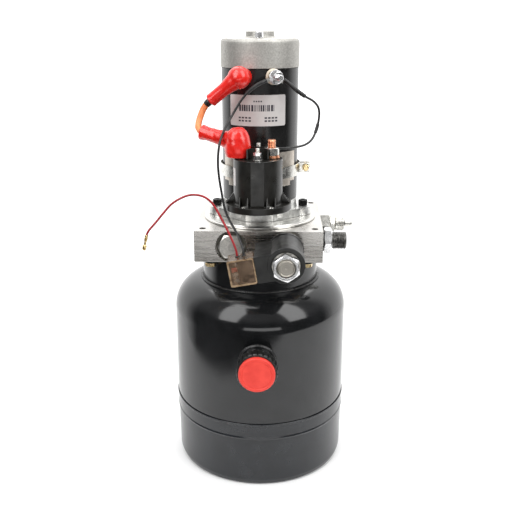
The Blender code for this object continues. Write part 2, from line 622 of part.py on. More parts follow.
def add_relay(looks):
    place = (0, RELAY_Y, 0)
    outline = [(0, RELAY_LOW_Z), (32.3, RELAY_LOW_Z), (32.3, 308.7), (RELAY_RADIUS, 308.7)]
    outline += [(RELAY_RADIUS, RELAY_HIGH_Z), (0, RELAY_HIGH_Z)]
    relay = add_piece("relay_housing", turned(outline, 28), looks["black_plastic"], place)
    join(relay, box((-6.2, -24.6, 306), (6.2, -15, RELAY_HIGH_Z - 0.1)))
    for side in (-1, 1):
        middle = side * (SMALL_STUD_OFFSET - 2.5)
        start = 180 if side > 0 else 0
        wall = arc(0, middle, 10.5, start, start + 180, 7) + arc(0, middle, 9.2, start + 180, start, 7)
        join(relay, prism(wall, RELAY_HIGH_Z - 2, 361.5))
    cut(relay, turned([(0, 290), (6.5, 290), (6.5, 306), (19, 306), (19, 345), (0, 345)], 20))
    holes = [cylinder(4.3, 343, 355, 12, x, 0) for x in (-RELAY_STUD_X, RELAY_STUD_X)]
    holes += [cylinder(2.3, 346.6, 355, 12, 0, y) for y in (-SMALL_STUD_OFFSET, SMALL_STUD_OFFSET)]
    cut(relay, gathered(holes))
    outline = [(0, 312), (4.5, 312), (6, 313.5), (6, 330), (3, 330), (3, 335), (17, 335), (17, 337)]
    outline += [(3, 337), (3, 340), (0, 340)]
    add_piece("relay_plunger", turned(outline), looks["copper"], place)
    seat = RELAY_HIGH_Z + GAP
    stud = [(0, 341), (4, 341), (4, seat)]
    bare = stud + [(7.9, seat), (7.9, 354.2), (7.6, 354.2), (7.6, 361.4), (4, 361.4), (4, 368.4)]
    bare += [(3.4, 369), (0, 369)]
    hidden = stud + [(5.5, seat), (5.5, 361), (4, 361), (4, 368), (0, 368)]
    add_piece("relay_stud_right", turned(bare, 16), looks["copper"], (RELAY_STUD_X, RELAY_Y, 0))
    add_piece("relay_stud_left", turned(hidden, 16), looks["copper"], (-RELAY_STUD_X, RELAY_Y, 0))
    for name, side in (("relay_coil_stud_front", -1), ("relay_coil_stud_rear", 1)):
        outline = [(0, 347), (2, 347), (2, seat), (4.3, seat), (4.3, 358.4), (2, 358.4), (2, 363.4)]
        outline += [(0, 363.4)]
        add_piece(name, turned(outline, 12), looks["zinc"], (0, RELAY_Y + side * SMALL_STUD_OFFSET, 0))


def add_relay_mounting(looks):
    inner = MOTOR_RADIUS + GAP
    sheet = arc(0, 0, inner, 210, 330, 16) + arc(0, 0, inner + 1.5, 330, 210, 16)
    saddle = add_piece("relay_saddle", prism(sheet, 315, 350), looks["zinc"])
    join(saddle, box((-11, -49.6, 337.5), (11, -40.2, 348.5)))
    join(saddle, box((-11, -49.6, 316.5), (11, -40.2, 321)))
    inner += 1.5 + GAP
    start = 4.5
    band = arc(0, 0, inner, start, 360 - start, 36) + arc(0, 0, inner + 0.8, 360 - start, start, 36)
    clamp = add_piece("band_clamp", prism(band, 323, 335), looks["zinc"])
    for side in (-1, 1):
        near, far = sorted((side * 3.2, side * 5))
        join(clamp, box((inner - 0.3, near, 324), (53, far, 334)))
    screw = cylinder(2.5, -11, 12, 12)
    join(clamp, screw, (48, 0, 329.6), FORWARD)


# Boots and leads


def add_upper_boot(looks):
    place = (0, 0, TERMINAL_Z)
    turn = (90, 0, -TERMINAL_ANGLE)
    outline = [(0, 40.6), (8.2, 40.6), (8.2, 47)]
    outline += [(radius, 55 + height) for radius, height in arc(0, 0, 11, -36, 78, 7)] + [(0, 66)]
    boot = add_piece("upper_boot", turned(outline, 20), looks["red_vinyl"], place, turn)
    start = Vector((-19.5, -53.6, TERMINAL_Z))
    end = Vector((-46.9, -47.5, 402.3))
    heading = end - start
    sleeve = turned([(7.6, 0), (7.2, 12), (6.4, 18), (6.4, heading.length)], 16)
    bearing = [math.degrees(angle) for angle in heading.to_track_quat("Z", "Y").to_euler()]
    join(boot, sleeve, start, bearing)
    cut(boot, turned([(0, 30), (7.9, 30), (7.9, 57.5), (4.4, 62.9), (0, 62.9)], 16))


def add_lower_boot(looks):
    low = RELAY_HIGH_Z + 2 * GAP
    outline = [(0, low), (12.6, low), (13, 358), (12.4, 369), (9.6, 376.5), (5, 380), (0, 381)]
    boot = add_piece("lower_boot", turned(outline, 20), looks["red_vinyl"], (-19.2, RELAY_Y, 0))
    start = Vector((-24, -72.5, 366.5))
    end = Vector((-55, -58.5, 373.8))
    heading = end - start
    mouth = heading.length
    bearing = [math.degrees(angle) for angle in heading.to_track_quat("Z", "Y").to_euler()]
    join(boot, turned([(7.6, 0), (7.4, mouth)], 16), start, bearing)
    socket = [(0, mouth - 12.6), (3.9, mouth - 12.6), (6.3, mouth + 1), (0, mouth + 1)]
    cut(boot, turned(socket, 16), start, bearing)
    cut(boot, cylinder(6, 345, 369.5, 16), (-RELAY_STUD_X, RELAY_Y, 0), (0, 0, 0))


def add_leads(looks):
    add_lead("battery_cable", CABLE_ROUTE, CABLE_RADIUS, looks["orange_cable"], 2)
    add_lead("earth_lead", EARTH_ROUTE, EARTH_RADIUS, looks["black_wire"])
    add_lead("relay_lead", RELAY_LEAD_ROUTE, EARTH_RADIUS, looks["black_wire"])
    add_lead("red_lead", RED_ROUTE, RED_RADIUS, looks["red_wire"])
    heading = Vector((-3.2, -0.6, -15.4))
    bearing = [math.degrees(angle) for angle in heading.to_track_quat("Z", "Y").to_euler()]
    outline = [(0, GAP), (1.6, GAP), (1.6, 6), (1.1, 7), (1.1, 10), (2, 11), (2, 15), (1, 16), (0, 16)]
    add_piece("red_lead_terminal", turned(outline, 10), looks["brass"], RED_ROUTE[-1], bearing)


def main():
    clear_scene()
    looks = make_materials()
    add_tank(looks)
    add_tank_base(looks)
    add_filler_cap(looks)
    add_block(looks)
    add_cavity_plug(looks)
    add_outlet_fitting(looks)
    add_relief_valve(looks)
    add_solenoid_valve(looks)
    add_tank_bolts(looks)
    add_pump(looks)
    add_suction(looks)
    add_motor_flange(looks)
    add_motor_case(looks)
    add_terminals(looks)
    add_motor_inside(looks)
    add_relay(looks)
    add_relay_mounting(looks)
    add_upper_boot(looks)
    add_lower_boot(looks)
    add_leads(looks)


main()
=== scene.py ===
"""The looks of a hydraulic power unit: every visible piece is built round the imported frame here.

Shapes are drawn in millimetres and add() turns them into metres. A shape is drawn along its own Z
axis and a place faces it FORWARD (its Z to -Y) or to the RIGHT (its Z to +X), so its heights count
from the unit's middle axis.
"""

import math
import random

import bmesh
import bpy
from mathutils import Euler, Matrix, Vector, noise


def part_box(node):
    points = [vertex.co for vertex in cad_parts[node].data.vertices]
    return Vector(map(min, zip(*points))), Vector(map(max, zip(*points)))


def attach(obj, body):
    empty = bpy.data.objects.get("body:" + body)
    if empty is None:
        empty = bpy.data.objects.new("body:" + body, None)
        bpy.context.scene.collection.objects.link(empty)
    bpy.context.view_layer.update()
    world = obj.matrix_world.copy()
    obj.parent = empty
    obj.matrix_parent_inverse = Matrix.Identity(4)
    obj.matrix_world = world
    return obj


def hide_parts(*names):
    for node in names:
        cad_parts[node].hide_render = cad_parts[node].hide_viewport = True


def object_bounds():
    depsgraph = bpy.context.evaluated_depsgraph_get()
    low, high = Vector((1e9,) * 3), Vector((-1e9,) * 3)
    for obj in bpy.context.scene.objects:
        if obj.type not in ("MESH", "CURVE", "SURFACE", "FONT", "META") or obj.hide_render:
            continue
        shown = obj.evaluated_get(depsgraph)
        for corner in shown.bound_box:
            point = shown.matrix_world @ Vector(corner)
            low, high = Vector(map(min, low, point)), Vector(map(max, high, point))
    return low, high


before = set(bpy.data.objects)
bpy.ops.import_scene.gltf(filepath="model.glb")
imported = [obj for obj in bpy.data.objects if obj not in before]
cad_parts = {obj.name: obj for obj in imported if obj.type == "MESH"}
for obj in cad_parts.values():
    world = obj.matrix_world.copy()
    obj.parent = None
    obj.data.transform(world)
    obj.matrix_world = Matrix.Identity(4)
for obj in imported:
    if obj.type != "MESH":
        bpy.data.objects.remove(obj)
cad_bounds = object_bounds()

MM = 0.001
FORWARD = (90, 0, 0)
RIGHT = (0, 90, 0)
VALVE_TILT = 10
TERMINAL_ANGLE = 20
TERMINAL_Z = 424.5
PORT_Z = 259.7
RELAY_Y = -73.5
THROUGH_BOLT = 28
FLANGE_SCREW = 46
FILLER_BORE = 14.2
TANK_SEGMENTS = 176

# Places of pieces: a location in millimetres and a rotation in degrees
HERE = ((0, 0, 0), (0, 0, 0))
PLUG = ((-27.5, 0, PORT_Z), FORWARD)
VALVE = ((27.5, 0, PORT_Z), FORWARD)
COIL = ((27.5, 0, PORT_Z), (90, -VALVE_TILT, 0))
OUTLET = ((0, -39, PORT_Z), RIGHT)
RELIEF = ((0, 27, PORT_Z), RIGHT)
TERMINAL = ((0, 0, TERMINAL_Z), (90, 0, TERMINAL_ANGLE))

# Lead and cable routes, the same points as the CAD model's, in metres
EARTH_ROUTE = [
    (0.0072, -0.0476, 0.4216), (0.0032, -0.0498, 0.4199), (-0.0024, -0.052, 0.417),
    (-0.0095, -0.055, 0.412), (-0.0176, -0.0575, 0.4022), (-0.025, -0.062, 0.3902),
    (-0.0316, -0.0715, 0.3786), (-0.0354, -0.0825, 0.368), (-0.037, -0.086, 0.3576),
    (-0.0374, -0.0862, 0.3458), (-0.0364, -0.0854, 0.3324), (-0.0346, -0.0852, 0.3204),
    (-0.0329, -0.086, 0.31), (-0.0306, -0.0886, 0.302), (-0.0266, -0.093, 0.2944),
    (-0.0209, -0.0994, 0.2864), (-0.0156, -0.107, 0.2776), (-0.0132, -0.1116, 0.271),
    (-0.0124, -0.113, 0.2665),
]
RELAY_LEAD_ROUTE = [
    (0.0242, -0.041, 0.4218), (0.029, -0.0418, 0.4183), (0.0364, -0.0408, 0.412),
    (0.045, -0.0384, 0.4058), (0.0534, -0.035, 0.4008), (0.0586, -0.032, 0.3942),
    (0.0596, -0.0306, 0.3856), (0.0576, -0.032, 0.3744), (0.0532, -0.037, 0.3644),
    (0.0464, -0.043, 0.3596), (0.0376, -0.0486, 0.358), (0.0276, -0.053, 0.3576),
    (0.0166, -0.0556, 0.3574), (0.0047, -0.0574, 0.3572),
]
RED_ROUTE = [
    (-0.0186, -0.113, 0.2653), (-0.0198, -0.1126, 0.2716), (-0.023, -0.1104, 0.2794),
    (-0.0284, -0.1066, 0.29), (-0.0354, -0.102, 0.302), (-0.0418, -0.0996, 0.3122),
    (-0.0496, -0.0986, 0.3186), (-0.0594, -0.098, 0.3206), (-0.069, -0.0976, 0.3186),
    (-0.0806, -0.0974, 0.3118), (-0.0888, -0.0976, 0.303), (-0.097, -0.0982, 0.2932),
    (-0.1034, -0.0988, 0.286), (-0.1058, -0.0992, 0.2816),
]
CABLE_ROUTE = [
    (-0.0473, -0.0474, 0.402), (-0.0505, -0.0467, 0.3992), (-0.054, -0.0466, 0.3945),
    (-0.0568, -0.0476, 0.388), (-0.0586, -0.0496, 0.382), (-0.059, -0.0529, 0.3776),
    (-0.057, -0.0566, 0.3749), (-0.052, -0.0598, 0.3732), (-0.0444, -0.0633, 0.3713),
]
EARTH_DIAMETER = 0.0023
RED_DIAMETER = 0.0022
CABLE_DIAMETER = 0.0064


# Outlines and shapes, in millimetres


def extent(node):
    """Lowest and highest corners of a CAD node."""
    low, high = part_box(node)
    return low / MM, high / MM


def circle(radius, height, segments):
    turn = 2 * math.pi / segments
    return [(radius * math.cos(i * turn), radius * math.sin(i * turn), height) for i in range(segments)]


def arc(centre_x, centre_y, radius, start, end, steps):
    """Points along an arc, with its angles in degrees."""
    points = []
    for i in range(steps + 1):
        angle = math.radians(start + (end - start) * i / steps)
        points.append((centre_x + radius * math.cos(angle), centre_y + radius * math.sin(angle)))
    return points


def capsule(x0, y0, x1, y1, radius, steps=16):
    """The outline round two equal circles."""
    heading = math.degrees(math.atan2(y1 - y0, x1 - x0))
    far = arc(x1, y1, radius, heading - 90, heading + 90, steps)
    near = arc(x0, y0, radius, heading + 90, heading + 270, steps)
    return far + near


def rounded(outline, fillet, closed=False, steps=3):
    """An outline with softened corners. A corner's third number is its own fillet."""
    points = []
    last = len(outline) - 1
    for i, corner in enumerate(outline):
        here = Vector(corner[:2])
        size = corner[2] if len(corner) > 2 else fillet
        before = Vector(outline[i - 1][:2]) - here
        after = Vector(outline[(i + 1) % (last + 1)][:2]) - here
        ends = not closed and i in (0, last)
        bend = 0 if ends or not before.length or not after.length else math.pi - before.angle(after)
        if size <= 0 or bend < 0.15:
            points.append(here)
            continue
        reach = min(size * math.tan(bend / 2), before.length * 0.45, after.length * 0.45)
        start = here + before.normalized() * reach
        end = here + after.normalized() * reach
        for k in range(steps + 1):
            t = k / steps
            points.append(start.lerp(here, t).lerp(here.lerp(end, t), t))
    return [(point.x, point.y) for point in points]


def divided(outline, step):
    """An outline with points no further apart than a step."""
    points = [outline[0]]
    for start, end in zip(outline, outline[1:]):
        count = max(1, math.ceil(math.dist(start[:2], end[:2]) / step))
        for k in range(1, count + 1):
            part = k / count
            points.append((start[0] + (end[0] - start[0]) * part, start[1] + (end[1] - start[1]) * part))
    return points


def rectangle(left, right, half, fillet):
    """A rounded rectangle between two x values and the same distance each side of y = 0."""
    return rounded([(left, -half), (right, -half), (right, half), (left, half)], fillet, True)


def bridge(shape, low, high):
    """Faces between two closed loops of vertices, either of which may be a single point."""
    count = max(len(low), len(high))
    if count == 1:
        return
    for i in range(count):
        j = (i + 1) % count
        corners = [low[i % len(low)], low[j % len(low)], high[j % len(high)], high[i % len(high)]]
        shape.faces.new(list(dict.fromkeys(corners)))


def turned(outline, segments=96, bored=False, fillet=0.25, change=None):
    """A turned shape about Z. A bored outline closes on itself. A change moves each point by its angle."""
    shape = bmesh.new()
    rings = []
    for radius, height in rounded(outline, fillet, bored):
        places = [(0, 0, height)] if radius < 1e-6 else circle(radius, height, segments)
        if change and len(places) > 1:
            for i in range(segments):
                angle = 2 * math.pi * i / segments
                new_radius, new_height = change(radius, height, angle)
                places[i] = (new_radius * math.cos(angle), new_radius * math.sin(angle), new_height)
        rings.append([shape.verts.new(place) for place in places])
    for low, high in zip(rings, rings[1:]):
        bridge(shape, low, high)
    if bored:
        bridge(shape, rings[-1], rings[0])
    else:
        for ring in (rings[0], rings[-1]):
            if len(ring) > 1:
                shape.faces.new(ring)
    bmesh.ops.recalc_face_normals(shape, faces=shape.faces)
    return shape


def cylinder(radius, low, high, segments=64, x=0.0, y=0.0):
    shape = turned([(radius, low), (radius, high)], segments, fillet=0)
    bmesh.ops.translate(shape, vec=(x, y, 0), verts=shape.verts)
    return shape


def prism(outline, low, high):
    """A flat outline of (x, y) points raised from one height to another."""
    shape = bmesh.new()
    bottom = [shape.verts.new((x, y, low)) for x, y in outline]
    top = [shape.verts.new((x, y, high)) for x, y in outline]
    bridge(shape, bottom, top)
    shape.faces.new(bottom)
    shape.faces.new(top)
    bmesh.ops.recalc_face_normals(shape, faces=shape.faces)
    return shape


def box(low, high):
    (x0, y0, z0), (x1, y1, z1) = low, high
    return prism([(x0, y0), (x1, y0), (x1, y1), (x0, y1)], z0, z1)


def nut(across_flats, low, high, bore=0.0, turn=0.0, chamfers=(True, True), segments=96):
    """A hexagon nut or bolt head about Z, its corners cut back by 30 degree cones."""
    flat = across_flats / 2
    corner = flat / math.cos(math.pi / 6)
    rim = flat * 0.955

    def hexagonal(radius, height, angle):
        if radius <= rim + 0.01:
            return radius, height
        side = flat / math.cos(angle % (math.pi / 3) - math.pi / 6)
        drop = (side - rim) * math.tan(math.pi / 6)
        if height > (low + high) / 2:
            return side, high - drop * chamfers[1]
        return side, low + drop * chamfers[0]

    outline = [(rim, low, 0), (corner, low, 0), (corner, high, 0), (rim, high, 0)]
    if bore:
        outline = [(bore + 0.5, low, 0), *outline, (bore + 0.5, high, 0)]
        outline += [(bore, high - 0.5, 0), (bore, low + 0.5, 0)]
    else:
        outline = [(0, low), *outline, (0, high)]
    shape = turned(outline, segments, bool(bore), 0, hexagonal)
    bmesh.ops.rotate(shape, matrix=Matrix.Rotation(math.radians(turn), 3, "Z"), verts=shape.verts)
    return shape


def threaded(outline, radius, pitch, low, high, segments=48, bored=False):
    """A turned shape with a helical thread cut into the stretch of that radius."""
    depth = pitch * 0.5

    def helix(place, height, angle):
        if abs(place - radius) > 0.02 or not low < height < high:
            return place, height
        phase = (height / pitch - angle / (2 * math.pi)) % 1
        fade = min(1.0, (height - low) / pitch, (high - height) / pitch)
        return place - depth * fade * min(1.0, 1.25 * (1 - abs(2 * phase - 1))), height

    return turned(divided(outline, pitch / 7), segments, bored, 0, helix)


def ribbed(outline, count, depth, radius, low, high, segments, duty):
    """A turned shape with grip ribs along the stretch beyond a radius. Duty is a rib's share of the pitch."""

    def ribs(place, height, angle):
        if place < radius or not low <= height <= high:
            return place, height
        phase = angle * count / (2 * math.pi) % 1
        return place - (depth if phase > duty else 0), height

    return turned(divided(outline, 1.5), segments, False, 0, ribs)


def smooth_route(points, spacing):
    """Points about a spacing apart on a smooth curve through the route's points."""
    ends = [points[0] * 2 - points[1], *points, points[-1] * 2 - points[-2]]
    route = []
    for before, start, end, after in zip(ends, ends[1:], ends[2:], ends[3:]):
        steps = max(1, round((end - start).length / spacing))
        for i in range(steps):
            t = i / steps
            place = start * 2 + (end - before) * t + (before * 2 - start * 5 + end * 4 - after) * t * t
            place += (start * 3 - before - end * 3 + after) * t * t * t
            route.append(place / 2)
    route.append(points[-1])
    return route


def swept(points, sizes, sides):
    """A closed tube along points with a radius at each."""
    shape = bmesh.new()
    rings = []
    side = None
    for i, point in enumerate(points):
        ahead = (points[min(i + 1, len(points) - 1)] - points[max(i - 1, 0)]).normalized()
        side = ahead.orthogonal() if side is None else side - ahead * side.dot(ahead)
        side.normalize()
        up = ahead.cross(side)
        ring = []
        for k in range(sides):
            angle = 2 * math.pi * k / sides
            offset = side * (math.cos(angle) * sizes[i]) + up * (math.sin(angle) * sizes[i])
            ring.append(shape.verts.new(point + offset))
        rings.append(ring)
    for before, after in zip(rings, rings[1:]):
        bridge(shape, before, after)
    shape.faces.new(rings[0])
    shape.faces.new(rings[-1])
    bmesh.ops.recalc_face_normals(shape, faces=shape.faces)
    return shape


def torus(radius, thickness, height, segments, sides, squash):
    outline = [(radius + x, height + y * squash) for x, y in arc(0, 0, thickness, 0, 360, sides)[:-1]]
    return turned(outline, segments, True, 0)


def posed(shape, location=(0, 0, 0), rotation=(0, 0, 0)):
    """The shape moved to a place, with its rotation in degrees."""
    turn = Euler([math.radians(angle) for angle in rotation]).to_matrix().to_4x4()
    bmesh.ops.transform(shape, matrix=Matrix.Translation(location) @ turn, verts=shape.verts)
    return shape


def gathered(shapes):
    """Several shapes as one, which the call uses up."""
    whole = bmesh.new()
    for shape in shapes:
        mesh = bpy.data.meshes.new("gathered")
        shape.to_mesh(mesh)
        shape.free()
        whole.from_mesh(mesh)
        bpy.data.meshes.remove(mesh)
    return whole


# Pieces


def raw_object(name, shape):
    """An object in metres from a shape in millimetres, which the call uses up."""
    bmesh.ops.scale(shape, vec=(MM, MM, MM), verts=shape.verts)
    mesh = bpy.data.meshes.new(name)
    shape.to_mesh(mesh)
    shape.free()
    made = bpy.data.objects.new(name, mesh)
    bpy.context.scene.collection.objects.link(made)
    return made


def settle(piece):
    """Applies the piece's modifiers."""
    bpy.context.view_layer.update()
    evaluated = piece.evaluated_get(bpy.context.evaluated_depsgraph_get())
    mesh = bpy.data.meshes.new_from_object(evaluated)
    piece.modifiers.clear()
    piece.data = mesh


def combine(piece, tools, operation, place):
    for shape in tools:
        tool = raw_object("tool", posed(shape, *place))
        modifier = piece.modifiers.new("combine", "BOOLEAN")
        modifier.operation = operation
        modifier.solver = "EXACT"
        modifier.object = tool
        settle(piece)
        bpy.data.objects.remove(tool)


def dress(piece, look, body, replaces):
    piece.data.materials.clear()
    piece.data.materials.append(LOOKS[look])
    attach(piece, body)
    if replaces:
        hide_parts(*replaces)


def at(x, y):
    """The place of an upright piece."""
    return (x, y, 0), (0, 0, 0)


def add(name, shape, look, place=HERE, body="root", replaces=(), cuts=(), joins=(), bevel=0.0, sharp=32):
    """A finished piece, drawn with its cuts and joins at a place, that may stand for CAD nodes."""
    piece = raw_object(name, posed(shape, *place))
    combine(piece, joins, "UNION", place)
    combine(piece, cuts, "DIFFERENCE", place)
    if bevel:
        modifier = piece.modifiers.new("bevel", "BEVEL")
        modifier.width = bevel * MM
        modifier.segments = 2
        modifier.limit_method = "ANGLE"
        modifier.angle_limit = math.radians(40)
        modifier.use_clamp_overlap = True
        settle(piece)
    piece.data.shade_smooth()
    piece.data.set_sharp_from_angle(angle=math.radians(sharp))
    modifier = piece.modifiers.new("normals", "WEIGHTED_NORMAL")
    modifier.keep_sharp = True
    settle(piece)
    dress(piece, look, body, replaces)
    return piece


def fused(name, shapes, voxel, passes):
    """One skin round shapes that overlap, with their joins smoothed."""
    piece = raw_object(name, gathered(shapes))
    remesh = piece.modifiers.new("remesh", "REMESH")
    remesh.mode = "VOXEL"
    remesh.voxel_size = voxel * MM
    soften(piece, passes)
    return piece


def soften(piece, passes):
    smooth = piece.modifiers.new("smooth", "SMOOTH")
    smooth.factor = 0.5
    smooth.iterations = passes
    settle(piece)


def add_cord(node, name, route, diameter, look, sides=5):
    """A free lead, in place of a node, as a smooth curve through its route, which is in metres."""
    points = smooth_route([Vector(point) for point in route], diameter * 0.6)
    curve = bpy.data.curves.new(name, "CURVE")
    curve.dimensions = "3D"
    curve.bevel_depth = diameter / 2
    curve.bevel_resolution = sides
    curve.use_fill_caps = True
    spline = curve.splines.new("POLY")
    spline.points.add(len(points) - 1)
    spline.use_smooth = True
    for point, place in zip(spline.points, points):
        point.co = (*place, 1)
    lead = bpy.data.objects.new(name, curve)
    bpy.context.scene.collection.objects.link(lead)
    dress(lead, look, "root", [node])
    length = sum((b - a).length for a, b in zip(points, points[1:]))
    return lead, length


# Materials


LOOKS = {}


def add_node(look, kind, settings=None, **inputs):
    made = look.node_tree.nodes.new(kind)
    for name, value in (settings or {}).items():
        setattr(made, name, value)
    for name, value in inputs.items():
        socket = made.inputs[name.replace("_", " ")]
        if isinstance(value, bpy.types.NodeSocket):
            look.node_tree.links.new(value, socket)
        else:
            socket.default_value = value
    return made


def new_look(name, slot, metallic=0.0, **sockets):
    """A material whose constant values sit on the shader itself."""
    look = bpy.data.materials.new(name)
    look.use_nodes = True
    shader = look.node_tree.nodes["Principled BSDF"]
    shader.inputs["Metallic"].default_value = metallic
    for socket, value in sockets.items():
        shader.inputs[socket.replace("_", " ")].default_value = value
    LOOKS[name] = look
    return look


def speckle(look, scale, stretch=(1, 1, 1), detail=4.0, distortion=0.0):
    """Fractal noise over the object. A scale of 1000 gives cells of about 1 mm."""
    place = add_node(look, "ShaderNodeTexCoord")
    mapped = add_node(look, "ShaderNodeMapping", Vector=place.outputs["Object"], Scale=stretch)
    texture = add_node(look, "ShaderNodeTexNoise", Vector=mapped.outputs["Vector"], Scale=scale,
                       Detail=detail, Distortion=distortion)
    return texture.outputs["Fac"]


def turning_marks(look, centre, axes, scale):
    """Turning marks: noise over the distance from an axis through centre, which axes leaves out."""
    place = add_node(look, "ShaderNodeTexCoord")
    moved = add_node(look, "ShaderNodeVectorMath", {"operation": "SUBTRACT"})
    look.node_tree.links.new(place.outputs["Object"], moved.inputs[0])
    moved.inputs[1].default_value = centre
    flat = add_node(look, "ShaderNodeVectorMath", {"operation": "MULTIPLY"})
    look.node_tree.links.new(moved.outputs["Vector"], flat.inputs[0])
    flat.inputs[1].default_value = axes
    size = add_node(look, "ShaderNodeVectorMath", {"operation": "LENGTH"})
    look.node_tree.links.new(flat.outputs["Vector"], size.inputs[0])
    texture = add_node(look, "ShaderNodeTexNoise", {"noise_dimensions": "1D"}, W=size.outputs["Value"],
                       Scale=scale, Detail=3.0)
    return texture.outputs["Fac"]


def tint(look, value, dark, light, low=0.35, high=0.65):
    """Colours the surface from dark to light as the value goes from low to high."""
    ramp = add_node(look, "ShaderNodeValToRGB", Fac=value)
    ramp.color_ramp.elements[0].position = low
    ramp.color_ramp.elements[0].color = (*dark, 1)
    ramp.color_ramp.elements[1].position = high
    ramp.color_ramp.elements[1].color = (*light, 1)
    shader = look.node_tree.nodes["Principled BSDF"]
    look.node_tree.links.new(ramp.outputs["Color"], shader.inputs["Base Color"])
    return ramp


def finish_range(look, value, smooth, rough, low=0.3, high=0.7):
    """Varies the roughness between two values."""
    spread = add_node(look, "ShaderNodeMapRange", Value=value, From_Min=low, From_Max=high, To_Min=smooth,
                      To_Max=rough)
    shader = look.node_tree.nodes["Principled BSDF"]
    look.node_tree.links.new(spread.outputs["Result"], shader.inputs["Roughness"])


def relief(look, height, depth, under=None):
    """Bumps of a depth in millimetres, over another relief if one is given."""
    bump = add_node(look, "ShaderNodeBump", Height=height, Strength=1.0, Distance=depth * MM)
    if under:
        look.node_tree.links.new(under.outputs["Normal"], bump.inputs["Normal"])
    shader = look.node_tree.nodes["Principled BSDF"]
    look.node_tree.links.new(bump.outputs["Normal"], shader.inputs["Normal"])
    return bump


def painted(name, slot, dark, light, smooth, rough, peel):
    """Sprayed enamel: slight colour clouds, handling marks in the gloss, and orange peel."""
    look = new_look(name, slot)
    tint(look, speckle(look, 45, distortion=0.6), dark, light)
    finish_range(look, speckle(look, 28, detail=6), smooth, rough)
    waves = relief(look, speckle(look, 55, detail=1), peel * 4)
    relief(look, speckle(look, 420, detail=2), peel, waves)
    return look


def plated(name, slot, dark, light, smooth, rough, scale=300, bump=0.004):
    """Bright or passivated plating: colour that drifts, fine grain and worn gloss."""
    look = new_look(name, slot, 1.0)
    tint(look, speckle(look, scale, distortion=1.2), dark, light)
    finish_range(look, speckle(look, scale * 0.6, detail=6), smooth, rough)
    relief(look, speckle(look, scale * 6), bump)
    return look


def moulded(name, slot, dark, light, smooth, rough, grain=2200, bump=0.012):
    """Moulded plastic or rubber with a fine spark-eroded texture."""
    look = new_look(name, slot)
    tint(look, speckle(look, 90, detail=5), dark, light)
    finish_range(look, speckle(look, 130, detail=5), smooth, rough)
    relief(look, speckle(look, grain, detail=2), bump)
    return look


